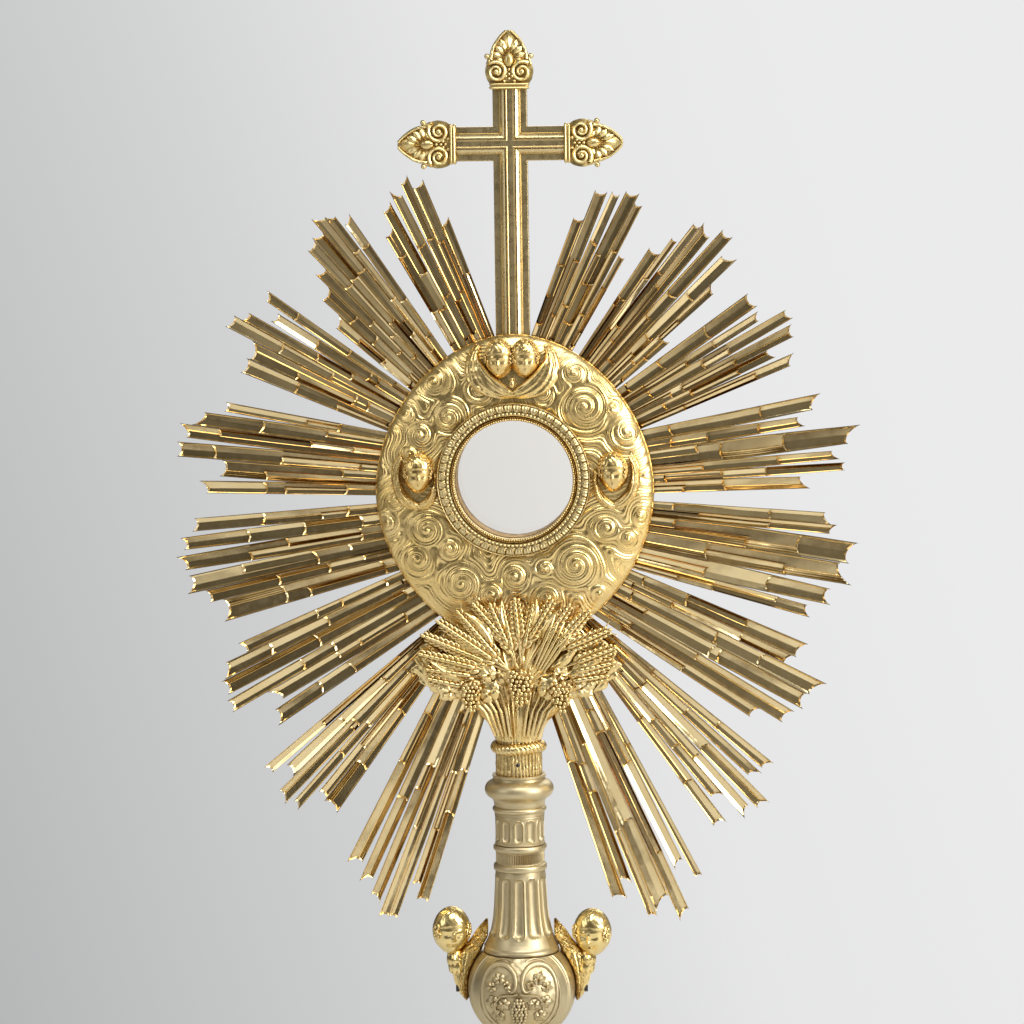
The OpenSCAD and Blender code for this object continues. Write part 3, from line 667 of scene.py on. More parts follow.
def head(shape, centre, r, look, curls, seed, rows, cols, deep, tall, curly=1.0):
    """A calm child's head: round skull and cheeks, closed lips, lowered lids and curled hair.

    look is where it faces, deep and tall stretch it front to back and upwards, and with curly below 1
    the hair lies flat and has locks only at the sides."""
    look = unit(look)
    up = unit(np.array([0, 0, 1.0]) - look * look[2])
    right = np.cross(look, up)
    p, a = np.meshgrid(np.linspace(0, np.pi, rows + 2)[1:-1], np.arange(cols) * TAU / cols, indexing="ij")
    x, y, z = np.sin(p) * np.sin(a), np.sin(p) * np.cos(a), np.cos(p)
    front = smooth(0.05, 0.5, y)
    ax = np.abs(x)

    def spot(cx, cz, wx, wz, amount):
        """A soft rise or hollow of the face at cx, cz and its mirror image."""
        return amount * np.exp(-((ax - cx) / wx) ** 2 - ((z - cz) / wz) ** 2) * front

    d = 0.02 * np.ones_like(x)
    d += spot(0.27, 0.03, 0.15, 0.09, -0.085) + spot(0.27, 0.02, 0.085, 0.055, 0.055)
    d += spot(0.28, -0.035, 0.10, 0.018, -0.03) + spot(0.28, 0.17, 0.16, 0.05, 0.03)
    d += 0.10 * np.exp(-(x / 0.065) ** 2) * smooth(0.16, 0.02, z) * smooth(-0.26, -0.16, z) * front
    d += spot(0.0, -0.17, 0.085, 0.06, 0.075) + spot(0.075, -0.18, 0.04, 0.035, 0.03)
    d += spot(0.42, -0.24, 0.20, 0.19, 0.065)
    d += spot(0.0, -0.355, 0.13, 0.032, 0.05) + spot(0.0, -0.445, 0.10, 0.034, 0.055)
    d += spot(0.0, -0.40, 0.15, 0.014, -0.05) + spot(0.0, -0.53, 0.10, 0.03, -0.02)
    d += spot(0.0, -0.68, 0.17, 0.11, 0.07)
    brow, nape = smooth(0.36, 0.48, z + 0.16 * ax), smooth(0.25, -0.02, y) * smooth(-0.75, -0.45, z)
    hair = np.clip(brow + nape, 0, 1)
    wavy = 0.5 + 0.5 * np.cos(13 * a + 5 * np.sin(5 * p + seed)) * np.cos(8 * p + 2 * np.sin(3 * a))
    d += hair * (0.035 + 0.05 * wavy) * curly
    taper = 1 - 0.20 * smooth(-0.1, -1.0, z) * (0.5 + 0.5 * front)
    scale = 1 + d
    local = np.stack([x * 0.88 * taper * scale, y * deep * scale, z * tall * scale], -1) * r
    turn = np.stack([right, look, up])
    poles = np.array([[0, 0, (tall + 0.04) * r], [0, 0, (0.02 - tall) * r]])
    pts = np.concatenate([local.reshape(-1, 3), poles]) @ turn + np.asarray(centre, float)
    shape.capped(pts, rows, cols)
    for i in range(curls):
        swing = rad(-125 + 250 * (i + 0.5) / curls)
        if curly < 1 and np.cos(swing) > 0.35:
            continue
        lift = 0.50 * np.cos(swing) + 0.06 * (i % 2)
        out = unit([np.sin(swing) * 0.95, 0.42 - 0.25 * np.cos(swing) + 0.12 * (i % 2), lift + 0.12])
        at = out * np.array([0.88, deep + 0.02, tall + 0.02]) * r * 1.02
        curl(shape, at @ turn + centre, out @ turn, r * (0.20 + 0.05 * hash01(seed, i)), 1 if i % 2 else -1,
             6.28 * hash01(seed, i, 2))


# ------------------------------------------------------------------ angels on the plate


def plate_y(x, z):
    """Front of the plate at one point."""
    return float(plate_front(np.array([x], float), np.array([z], float))[0])


def folded_wing(shape, centre, side, inner, outer):
    """A smooth wing folded round a head: a band from the point of the V up its side, with a bright inner
    edge and a few fine feather lines. inner and outer are (outwards, up) from centre."""
    count = 64
    inner, outer = (eased(points, count, 12).T for points in (inner, outer))
    t = np.linspace(0, 1, count)
    s = np.linspace(0, 1, 26)
    flat = inner[:, None] + (outer - inner)[:, None] * s[None, :, None]
    x, z = centre[0] + side * flat[..., 0], centre[1] + flat[..., 1]
    fade = (np.sin(np.pi * np.clip(t, 0.03, 0.97)) ** 0.35)[:, None]
    lanes = 3.6 * s + 2.2 * t[:, None]
    swell = 0.5 + 2.3 * np.sin(np.pi * np.clip(s * 0.8 + 0.2, 0, 1)) ** 0.8 + 0.22 * np.cos(TAU * lanes)
    lip = 1.1 * np.exp(-((s - 0.07) / 0.05) ** 2)
    front = np.stack([x, plate_front(x, z) - (swell + lip) * fade, z], -1)
    back = front + [0, 1.0, 0]
    back[..., 1] = np.maximum(back[..., 1], plate_dome(x, z) + 0.5)
    shape.slab(front, back)


def winged_head(name, heads, wings, node, tassel=None):
    """One or two heads of the plate with their wings and, under the pair, a tassel."""
    shape = Shape()
    for i, (x, y, z, r, look) in enumerate(heads):
        head(shape, (x, y, z), r, look, 16, 3 + i, 56, 72, 0.78, 1.2)
    for wing in wings:
        folded_wing(shape, *wing)
    if tassel:
        x, y, z = tassel
        shape.ball((x, y, z), 1.7, 6, 9, (0.9, 0.8, 1.5))
        shape.ball((x, y - 0.3, z + 2.8), 1.0, 5, 8)
    shape.build(name, "stand", "gilt_brass", PLATE_GOLD, [node], sharp=60)


def side_angel(sign, node):
    """A single head beside the window. Its outer wing is the longer one."""
    x0, z0 = 59.0 if sign > 0 else -56.8, 519.0
    outer_wing = ([(0, -18), (4.5, -15), (8.6, -10.5), (10.8, -4.5), (11.0, 2), (9.2, 8.5)],
                  [(0, -22), (6, -21), (11.5, -17), (15, -10.5), (16.4, -2.5), (15.2, 6), (11.0, 12)])
    inner_wing = ([(0, -18), (4, -15.2), (7.4, -11), (9.2, -5.5), (9.2, 0)],
                  [(0, -22), (5, -21.2), (9.2, -17.5), (11.9, -12), (12.5, -5), (11.5, 2)])
    face = (x0, plate_y(x0, z0) - 1.6, z0, 9.6, (-0.08 * sign, -1, -0.16))
    winged_head(f"winged_head_{node[6:]}", [face],
                [((x0, z0), sign, *outer_wing), ((x0, z0), -sign, *inner_wing)], node)


pair_y = plate_y(0, 583)
pair_wing = ([(0, -12.4), (5, -8.6), (10.5, -3.5), (15.5, 1), (18.8, 5.5), (19.8, 10.5), (18.5, 14.5)],
             [(0, -16.6), (8, -17.0), (16, -15.4), (22.5, -11.8), (26.8, -6), (28.2, 2), (26.6, 9.5),
              (21.5, 15.5)])
winged_head("winged_pair",
            [(side * 7.7, pair_y - 1.8, 586.6, 9.4, (side * 0.06, -1, -0.16)) for side in (-1, 1)],
            [((0, 580), side, *pair_wing) for side in (-1, 1)], "angel_pair", (0, pair_y - 4.6, 572.0))
side_angel(-1, "angel_left")
side_angel(1, "angel_right")

# ------------------------------------------------------------------ finials of the cross

# Outline of a finial: (distance from the end of the arm, half width)
FINIAL_EDGE = [(3.2, 11.5), (5.6, 13.2), (9.0, 14.1), (12.0, 14.2), (15.3, 13.2), (18.0, 11.4), (20.2, 11.1),
               (22.0, 10.8), (24.2, 10.0), (26.5, 8.8), (28.6, 7.3), (31.0, 5.3), (33.0, 3.2), (34.3, 1.5),
               (34.8, 0.4)]
# Leaves on each side of its palmette: (root, tip, width, arch)
FINIAL_LEAVES = [((0.9, 20.6), (4.9, 29.6), 3.2, 1.1), ((1.6, 19.6), (8.2, 25.6), 3.2, 1.1),
                 ((2.4, 18.2), (10.2, 21.4), 3.0, 1.0), ((2.2, 15.0), (7.6, 18.4), 2.8, 0.8)]
# Rings of its collar: (distance from the end of the arm, how far in)
FINIAL_COLLAR = [(0.0, 1.0), (0.3, 0.35), (0.9, 0.05), (1.4, 0.25), (1.7, 0.85), (2.1, 0.85), (2.4, 0.3),
                 (2.9, 0.15), (3.4, 0.35), (3.7, 1.0)]


def finial(name, node, place):
    """A cast leaf end: ogive frame, palmette, bud, two scrolls and berries on a collar.

    place turns (across, out, height) into a point; height is towards the front."""
    shape = Shape()
    edge = np.array(FINIAL_EDGE)
    v = np.interp(np.linspace(0, 1, 40), np.linspace(0, 1, len(edge)), edge[:, 0])
    w = np.interp(v, edge[:, 0], edge[:, 1])
    s = np.linspace(-1, 1, 15)
    across, out = w[:, None] * s, v[:, None] + 0 * s
    fan = np.arctan2(across, out - 18.0)
    swell = 1.7 + 1.3 * (1 - s ** 2)[None] * np.sin(np.pi * (v[:, None] - 3) / 34) + 0.35 * np.cos(9 * fan)
    front = place(across, out, swell)
    back = place(across, out, np.full_like(across, -1.5))
    shape.slab(front, back)
    face = place(0, 0, 1) - place(0, 0, 0)
    for side in (-1, 1):
        t = np.linspace(17.5, 34.2, 20)
        rim = place(side * np.interp(t, edge[:, 0], edge[:, 1]) * 0.92, t, 3.0)
        shape.tube(rim, np.linspace(1.15, 0.8, 20), 8)
        a = np.linspace(0, TAU * 1.55, 30)
        radius = 6.3 - 4.6 * a / a[-1]
        scroll = place(side * (7.5 + radius * np.cos(a + 0.9)), 10.2 + radius * np.sin(a + 0.9),
                       2.9 + 1.2 * a / a[-1])
        shape.tube(scroll, np.linspace(1.6, 1.0, 30), 8)
        shape.ball(place(side * 7.5, 10.2, 4.0), 1.9, 6, 9)
        shape.ball(place(side * 12.9, 19.4, 2.2), 1.7, 6, 9)
        stalk = [place(side * u, v, 2.6) for u, v in ((12.6, 14.5), (11.9, 16.6), (11.6, 18.4), (12.8, 19.4))]
        shape.tube(stalk, 1.1, 7)
        shape.ball(place(side * 3.0, 4.7, 3.0), 1.2, 5, 8)
        for root, tip, wide, arch in FINIAL_LEAVES:
            blade(shape, place(side * root[0], root[1], 3.2), place(side * tip[0], tip[1], 3.0), wide,
                  "petal", face, arch, 0.5, 0.3, thick=1.0, n=9, m=5)
    blade(shape, place(0, 20.6, 3.0), place(0, 32.6, 2.4), 4.2, "petal", face, 1.0, 0.7, 0.5, thick=1.0,
          n=11, m=7)
    tall = np.abs(place(0, 1, 0) - place(0, 0, 0))
    stretch = 0.72 + 0.32 * tall
    stretch[1] = 0.55
    shape.ball(place(0, 17.2, 3.2), 4.1, 9, 12, stretch)
    t = np.linspace(14, 20.6, 9)
    shape.tube(place(0, t, 5.1 + 0.5 * np.sin(np.pi * (t - 14) / 6.6)), 0.42, 6)
    for u, t in ((0, 6.2), (-1.8, 7.6), (1.8, 7.6), (0, 8.9), (-1.7, 10.2), (1.7, 10.2), (0, 11.6)):
        shape.ball(place(u, t, 3.6), 1.05, 4, 7)
    turns = 44
    a = np.arange(turns) * TAU / turns
    u, h = (np.sign(q) * np.abs(q) ** 0.3 for q in (np.cos(a), np.sin(a)))
    outer = [place(u * (12.1 - inset), t, 1.4 + h * (4.0 - inset)) for t, inset in FINIAL_COLLAR]
    inner = [place(u * 6, t, 1.4 + h * 1.5) for t, inset in FINIAL_COLLAR]
    shape.slab(np.array(outer), np.array(inner), wrap=True)
    shape.build(name, "stand", "bright_castings", FINIAL_GOLD, [node], sharp=45)


def facing(origin, across, out):
    """A place function for a flat ornament that faces the front: across and out are its directions."""
    def place(u, v, h):
        u, v, h = np.broadcast_arrays(*(np.asarray(q, float) for q in (u, v, h)))
        base = np.asarray(origin, float)
        return (base + u[..., None] * np.asarray(across, float) + v[..., None] * np.asarray(out, float)
                + h[..., None] * np.array(FORWARD))
    return place


finial("cross_finial_top", "finial_top", facing((0, 0, CROSS["z"] + CROSS["arm"]), (1, 0, 0), (0, 0, 1)))
finial("cross_finial_right", "finial_right", facing((CROSS["arm"], 0, CROSS["z"]), (0, 0, -1), (1, 0, 0)))
finial("cross_finial_left", "finial_left", facing((-CROSS["arm"], 0, CROSS["z"]), (0, 0, 1), (-1, 0, 0)))

# ------------------------------------------------------------------ cross

# Half of the cross's section: (distance in from the edge, y)
CROSS_SECTION = [(0, 0.2), (0.15, -0.45), (0.5, -0.75), (3.9, -0.85), (4.1, -1.3), (4.4, -1.8), (5.6, -2.9),
                 (6.7, -3.5), (6.95, -3.45), (7.05, -3.0), (7.3, -2.95), (7.45, -3.7), (7.8, -4.1),
                 (8.1, -4.15), (8.35, -3.7), (8.6, -3.55), (CROSS["half"], -3.6)]


def cross_quadrant(shape, across, upright, bar_end):
    """The section swept from the end of the upright round the inner corner to the end of an arm."""
    grid = []
    for inset, y in CROSS_SECTION:
        off = CROSS["half"] - inset
        line = [(off, bar_end + (off - bar_end) * t) for t in np.linspace(0, 1, 14)]
        line += [(off + (CROSS["arm"] - off) * t, off) for t in np.linspace(0, 1, 8)[1:]]
        grid.append([(across * u, y + 0.03 * np.sin(v * 0.13 + u * 0.2), CROSS["z"] + upright * v)
                     for u, v in line])
    front = np.array(grid)
    back = front.copy()
    back[..., 1] = 2.4
    shape.slab(front, back)


cross = Shape()
for across in (-1, 1):
    cross_quadrant(cross, across, 1, CROSS["arm"])
    cross_quadrant(cross, across, -1, CROSS["foot"])
tongue_z, tongue_x = np.meshgrid(np.linspace(576, 602, 9), np.linspace(-4.8, 4.8, 5), indexing="ij")
narrowed = tongue_x * np.interp(tongue_z, [576, 577], [0.85, 1])
tongue = np.stack([narrowed, np.full_like(tongue_x, 0.1), tongue_z], -1)
cross.slab(tongue, tongue + [0, 2.2, 0])
cross.build("cross_upright_and_arms", "stand", "satin_gilt", CROSS_GOLD, ["cross_bar"], sharp=24)

# ------------------------------------------------------------------ sheaf

# Half width of the bundle: (z, half width)
SHEAF_HALF = [(358, 14), (364, 15.6), (368, 18), (375, 23), (382, 29), (385.5, 38), (389, 50), (393, 56),
              (398, 59.5), (404, 61), (410, 60), (416, 55), (421, 46), (425, 36), (429, 25), (432, 14),
              (433, 6)]


def sheaf_back():
    """The bundle behind the ears: round stalks at the shank that spread into a flat ragged fan."""
    z = np.linspace(358, 433, 160)[:, None]
    u = np.linspace(-1, 1, 261)[None]
    ragged = smooth(380, 392, z) * (1.4 * np.sin(z * 0.9 + 2 * np.sign(u)) + 1.0 * np.sin(z * 0.41))
    w = np.interp(z, *np.array(SHEAF_HALF).T) + ragged
    x = u * w
    z = z + 0 * x
    round_edge = np.sqrt(np.clip(1 - u ** 2, 0, 1))
    low = -14.0 * round_edge - 2.5 * smooth(358, 376, z)
    high = -14.7 - 0.9 * round_edge ** 0.5
    y = low + (high - low) * smooth(366, 392, z)
    spread = np.interp(z, [358, 371, 390, 412, 446], [14, 18, 27, 38, 52])
    s = x / spread
    fade = smooth(358, 361, z)
    stalks = 0.55 * np.abs(np.sin(26 * s + 1.7 * np.sin(3.1 * s + 0.02 * z)))
    stalks += 0.35 * np.sin(11 * s + 0.05 * z) + 0.25 * np.sin(47 * s + 0.1 * z)
    blades = 1.2 * np.abs(np.sin(8.5 * s + 0.045 * (z - 400) * np.sign(x))) ** 1.2
    chaff = 0.9 * np.abs(np.sin(x * 0.45 + z * 0.3)) * np.abs(np.sin(x * 0.32 - z * 0.4))
    y = y - fade * (stalks + smooth(380, 400, z) * (0.8 * blades + chaff)) * (0.3 + 0.7 * round_edge)
    front = np.stack([x, y, z], -1)
    back_y = np.maximum(np.interp(z, [358, 371, 390, 400, 446], [0.0, -0.5, -2.4, -11, -14.4]), y + 1.2)
    round_back = 13.0 * round_edge * smooth(374, 358, z)
    back = np.stack([x, np.where(z < 372, np.maximum(back_y, round_back), back_y), z], -1)
    bundle = Shape().slab(front, back)
    bundle.build("sheaf_bundle", "stand", "gilt_brass", SHEAF_GOLD, ["sheaf_stalks"], sharp=50)


# Ears: (foot x, foot z, tip x, tip z, how far forward)
EARS = [
    (2, 421, -0.3, 448, 1.0), (-4, 416, -16, 445, 0.4), (8, 420, 24, 446.5, 0.6), (-10, 409, -37, 441, 0.2),
    (-12.5, 408, -50, 434.5, 0.9), (-17, 407, -60, 425.5, 0.4), (-22.5, 403.5, -61.5, 413.5, 0.9),
    (-26, 399, -57, 403.5, 0.3), (23.5, 415, 46.5, 440, 0.9), (30, 415, 60, 427.5, 0.5),
    (36, 406.5, 62.5, 416.5, 0.9), (35, 401, 61.5, 407, 0.3), (-31, 392.5, -55.5, 398, 0.0),
    (33.5, 395.5, 57.5, 399, 0.0), (16, 417, 34.5, 444, 0.0), (-7, 421, -27, 444.5, -0.2),
    (5, 415, 11.5, 444, 0.0), (-1.5, 413, -8, 444.5, 0.0),
]
# Broad leaves among the ears: (foot x, foot z, tip x, tip z, sideways bow)
SHEAF_LEAVES = [
    (-13, 413, -30, 437, -3.5), (-14, 403, -40, 424, -3), (-3, 423, -7.5, 444, 2.5),
    (5, 423, 13, 444.5, -2.5), (19, 402, 37.5, 417.5, -2), (-26, 396, -52, 409, 2),
    (28, 398, 53, 412, -2), (14, 418, 26, 438, 2),
]


def wheat_ear(shape, foot_x, foot_z, tip_x, tip_z, forward, seed):
    """A stalk with grains in three rows, the middle one in front, and a beard on every third grain."""
    foot = np.array([foot_x, -18.3 - forward, foot_z])
    reach = np.array([tip_x - foot_x, 0, tip_z - foot_z])
    length = np.linalg.norm(reach)
    d = reach / length
    p = np.array([d[2], 0, -d[0]])
    count = int(length / 3.7)
    stalk = [foot - d * 14 + [0, 1.0, 0], foot - d * 5, foot, foot + d * length * 0.85]
    shape.tube(stalk, [0.8, 0.9, 1.3, 1.0], 7)
    for i in range(count):
        t = i / count
        slim = 1.0 - 0.42 * t ** 2
        for side, ahead in ((-1, 0), (1, 0), (0, 1)):
            up = length * 0.84 * (t + 0.05 * (side == 1) + 0.09 * ahead)
            at = foot + d * up + p * side * 2.5 * slim + np.array([0, -0.4 - 1.3 * ahead + 0.3 * t, 0])
            axis = d + p * side * 0.46 + np.array([0, -0.12, 0])
            shape.ball(at + d * 1.4, 1.9 * slim, 7, 10, (0.9, 0.85, 1.75), axis)
            if side and i % 3 == 1:
                tip = at + unit(axis * [1, 0.2, 1] + p * side * 0.05) * (5.6 + 1.4 * hash01(seed, i))
                shape.tube([at + d * 2, (at + tip) / 2 + d, tip], [0.5, 0.42, 0.2], 5)


def vine_leaf(shape, x, z, y, size, lean):
    """Five pointed lobes round a stalk."""
    for turn, reach in ((0, 1.0), (-52, 0.86), (52, 0.86), (-108, 0.6), (108, 0.6)):
        a = rad(lean + turn)
        tip = (x + size * reach * np.sin(a), y + 0.6, z + size * reach * np.cos(a))
        blade(shape, (x, y, z), tip, size * 0.74, "leaf", FORWARD, 0.5, 0.8, 0.5, 4, thick=0.8, n=13, m=9)


def grapes(shape, x, z, y, half, height, seed, r):
    """A bunch of berries: rows packed like a comb, each berry pushed a little out of place."""
    rows = int(height / (r * 1.45))
    for i in range(rows):
        t = i / (rows - 1)
        w = half * np.sqrt(np.clip(1 - (1.45 * t - 0.42) ** 2 * 0.75, 0.05, 1)) * (1 - 0.28 * t)
        count = max(2, int(2 * w / (r * 1.7)))
        for k in range(count):
            s = -1 + 2 * (k + 0.25 + 0.5 * (i % 2)) / count
            push = r * 0.55 * (hash01(seed, i, k) - 0.5)
            drop = r * 0.9 * (hash01(seed, k, i, 3) - 0.5)
            lift = 2.8 * np.sqrt(np.clip(1 - s * s * 0.9, 0, 1)) * (1 - 0.25 * t)
            at = (x + s * w + push, y - lift, z - height * t + drop)
            shape.ball(at, r * (0.86 + 0.3 * hash01(seed, k, i)), 7, 10)


sheaf_back()
ears = Shape()
for i, ear in enumerate(EARS):
    wheat_ear(ears, *ear, i)
GRASSES = 22
for i in range(GRASSES):
    lean = -86 + 172 * (i + 0.5) / GRASSES + 5 * (hash01(i, 4) - 0.5)
    side = np.array([np.sin(rad(lean)), 0, np.cos(rad(lean))])
    start = np.array([side[0] * 9, -16.0, 392 + 4 * hash01(i, 2)])
    reach = 33 + 20 * hash01(i, 3)
    tip = start + side * reach + [0, -0.8, 0]
    tip[2] = min(tip[2], 442)
    tip[0] = np.clip(tip[0], -62, 62)
    blade(ears, start, tip, 5.6, "grass", FORWARD, 1.5, 0.4, 0.5, thick=0.7,
          bend=4 * (hash01(i, 7) - 0.5), n=13, m=7)
for x0, z0, x1, z1, bend in SHEAF_LEAVES:
    blade(ears, (x0, -19.6, z0), (x1, -20.0, z1), 5.6, "leaf", FORWARD, 1.2, 0.7, 0.7, 4, thick=0.8,
          bend=bend, n=17, m=9)
for i in range(5):
    start = np.array([11 + 1.5 * i, -18.4 - 0.1 * i, 404 - 0.7 * i])
    end = np.array([24 + 2.6 * i, -20.0, 435 - 2.4 * i])
    stem = [start, (2 * start + end) / 3 + [0, -1.6, 0], (start + 2 * end) / 3 + [0, -1.4, 0], end]
    ears.tube(stem, [0.9, 1.3, 1.25, 0.6], 9)
ears.build("wheat", "stand", "gilt_brass", SHEAF_GOLD, ["wheat_ears"], sharp=55)

foliage = Shape()
for x, z, size, lean in ((-15.5, 388, 10.5, -28), (18.5, 389.5, 10.5, 30), (-39, 389.5, 9.5, -70),
                         (39, 391, 9.5, 70), (-16, 399, 8.5, -35), (26, 399, 7.5, 38)):
    vine_leaf(foliage, x, z, -20.0, size, lean)
for side in (-1, 1):
    for i in range(5):
        start = np.array([side * (4 + 2.2 * i), -16.2 + 0.5 * i, 362.0])
        mid = np.array([side * (6 + 3.2 * i), -18.2 + 0.5 * i, 377.0])
        end = np.array([side * (9 + 5.4 * i), -18.8 + 0.4 * i, 389.0])
        stem = [start, (start + mid) / 2 + [0, -0.3, 0], mid, (mid + end) / 2, end]
        foliage.tube(stem, [0.9, 0.95, 1, 0.9, 0.7], 7)
foliage.build("vine_foliage", "stand", "gilt_brass", SHEAF_GOLD, ["vine_leaves"], sharp=50)

fruit = Shape()
grapes(fruit, 2.8, 401.0, -21.6, 8.0, 19.5, 1, 1.35)
grapes(fruit, -26.5, 394.5, -21.2, 6.6, 15.5, 2, 1.25)
grapes(fruit, 27, 394.0, -21.2, 6.6, 15.5, 3, 1.25)
for x, z in ((2.8, 401.5), (-27, 394.5), (27, 394)):
    fruit.tube([(x, -20.6, z - 3), (x + 0.4, -21.2, z + 0.2), (x + 0.9, -20.4, z + 1.4)], 0.7, 7)
    fruit.ball((x, -20.6, z - 8), 5.2, 8, 12, (1.1, 0.45, 1.3))
fruit.build("grape_clusters", "stand", "gilt_brass", SHEAF_GOLD, ["grape_bunches"], sharp=60)

# ------------------------------------------------------------------ turned pieces


def arc(cx, cz, r, a0, a1, n):
    """n points of an arc in a profile, from angle a0 to a1."""
    a = rad(np.linspace(a0, a1, n))
    return list(zip(cx + r * np.cos(a), cz + r * np.sin(a)))


def dense(profile, step):
    """Points along a profile at most a step apart, keeping its corners."""
    out = [profile[0]]
    for p, q in zip(profile[:-1], profile[1:]):
        dr, dz = q[0] - p[0], q[1] - p[1]
        count = max(1, int(np.ceil(np.hypot(dr, dz) / step)))
        out += [(p[0] + dr * k / count, p[1] + dz * k / count) for k in range(1, count + 1)]
    return np.array(out)


def turned(name, profile, bore, node, relief=None, turns=240, step=0.8, material=STEM_GOLD,
           slot="satin_gilt"):
    """A turned wall between profile (radius, z) and a bore radius, or a list of (radius, z) for the bore.

    Angle 0 is the front. relief(angle, z) is added to the radius."""
    pts = dense(profile, step)
    a = np.arange(turns) * TAU / turns
    aa, zz = np.meshgrid(a, pts[:, 1])
    rr = np.repeat(pts[:, :1], turns, 1)
    if relief is not None:
        rr = rr + relief(aa, zz)
    if np.ndim(bore) == 0:
        inner = np.full(len(pts), float(bore))
    else:
        inner = np.interp(pts[:, 1], [q[1] for q in bore], [q[0] for q in bore])
    inner = np.minimum(np.repeat(inner[:, None], turns, 1), rr - 0.8)
    front = np.stack([rr * np.sin(aa), -rr * np.cos(aa), zz], -1)
    back = np.stack([inner * np.sin(aa), -inner * np.cos(aa), zz], -1)
    Shape().slab(front, back, wrap=True).build(name, "stand", slot, material, [node], 40)


def flutes(low, high, width, depth, lip, radius, count=12):
    """Hollow flutes with round ends and a fine raised edge; one of them faces the front."""
    def relief(a, z):
        pitch = TAU / count
        off = ((a + pitch / 2) % pitch - pitch / 2) * radius
        half = width / 2
        over = np.maximum(z - (high - half), 0)
        under = np.maximum((low + half) - z, 0)
        d = np.sqrt(off ** 2 + np.maximum(over, under) ** 2) / half
        cut = -depth * np.sqrt(np.clip(1 - d ** 2, 0, 1))
        return cut + lip * np.exp(-((d - 1.07) / 0.09) ** 2)
    return relief


ROD_BORE = 5
stem_flutes = flutes(239.8, 275.5, 6.3, 1.8, 0.3, 16.4)
drum_flutes = flutes(297.0, 310.2, 5.4, 1.5, 0.35, 14.7)

STEM_PROFILE = [(22.2, 229.55), (22.6, 229.9), (22.7, 230.6), (22.5, 231.4), (22.3, 232.6), (21.7, 234.0),
                (20.6, 236.2), (19.6, 238.6), (18.7, 241.2), (17.9, 244.2), (17.2, 247.6), (16.6, 251.6),
                (16.1, 257.0), (15.7, 264.0), (15.3, 271.0), (15.0, 277.5), (14.8, 279)]
BAND_PROFILE = [(15.2, 279.05), (15.9, 279.4), (16.05, 280.2), (16.05, 281.6), (15.8, 282.4), (15.2, 282.9),
                (14.5, 283.2), (14.3, 283.6), (14.3, 290.2), (14.6, 290.7), (15.4, 291.0), (15.9, 291.6),
                (16.05, 292.4), (16.0, 293.6), (15.5, 294.4)]
DRUM_PROFILE = [(14.6, 294.5), (14.9, 295.0), (14.9, 295.8), (14.5, 296.2), (14.5, 311.0), (14.9, 311.4),
                (14.9, 312.1), (14.6, 312.5)]
COLLAR_PROFILE = ([(15, 312.55)] + arc(14.4, 316, 1.8, -70, 70, 10)
                  + [(15.2, 318.5), (15.6, 321.1), (16.4, 322.1)] + arc(15.4, 328, 5.3, -70, 72, 22)
                  + [(15.8, 333.6), (15.6, 335), (16.0, 335.6), (16.0, 336.8), (15.0, 337.0)])
COLLAR_BORE = [(ROD_BORE, 312.5), (ROD_BORE, 317.8), (14.1, 318.2), (14.1, 337)]


def stem_relief(a, z):
    """Flutes, and a fine groove and ring under them."""
    rings = -0.3 * bump(z - 232.2, 0.3) + 0.3 * bump(z - 233.0, 0.4)
    return stem_flutes(a, z) + rings


def band_relief(a, z):
    """Fine upright reeds in the band's channel."""
    return 0.32 * np.cos(84 * a) * smooth(283.4, 284.0, z) * smooth(290.4, 289.8, z)


turned("stem_bell", STEM_PROFILE, ROD_BORE, "fluted_stem", stem_relief, turns=288, step=0.7)
turned("knurled_band", BAND_PROFILE, ROD_BORE, "reeded_band", band_relief, turns=504, step=0.5)
turned("drum", DRUM_PROFILE, ROD_BORE, "fluted_drum", drum_flutes, turns=336, step=0.6)
turned("collar", COLLAR_PROFILE, COLLAR_BORE, "socket_collar", turns=180, step=0.7)


def stalk_relief(a, z):
    """Round stalks of different thickness side by side, with a joint here and there."""
    lanes = 34
    u = a * lanes / TAU + 0.35 * np.sin(0.09 * z + 3 * a)
    k = np.floor(u) % lanes
    s = (u - np.floor(u)) * 2 - 1
    size = 0.55 + 0.45 * hash01(k, 11)
    knots = 0.25 * bump(((z + 17 * hash01(k, 5)) % 13) - 6, 0.7)
    return -0.9 + size * np.sqrt(np.clip(1 - s ** 2, 0, 1)) * 0.9 + knots


SHANK_PROFILE = [(13.8, 318.2), (13.9, 319), (14.0, 330), (14.0, 352), (13.6, 357.9)]
turned("stalk_shank", SHANK_PROFILE, ROD_BORE, "sheaf_shank", stalk_relief, turns=408, step=1.0,
       material=SHEAF_GOLD, slot="gilt_brass")


def rope_ring(name, node):
    """A rope of twisted strands laid round the shank."""
    turns, section = 420, 30
    a, m = np.meshgrid(np.arange(turns) * TAU / turns, np.arange(section) * TAU / section, indexing="ij")
    strand = np.abs(np.cos(17 * a + 1.5 * m))
    fibre = 0.5 + 0.5 * np.cos(3 * (34 * a + 3 * m))
    r = 2.75 + 0.62 * strand ** 0.7 + 0.07 * fibre
    ring = 13.5 + r * np.cos(m)
    pts = np.stack([ring * np.sin(a), -ring * np.cos(a), 353.5 + 0.35 * np.sin(2 * a) + r * np.sin(m)], -1)
    shape = Shape()
    shape.add(pts.reshape(-1, 3), quads(turns, section, wrap_m=True, wrap_n=True))
    shape.build(name, "stand", "gilt_brass", SHEAF_GOLD, [node], sharp=60)


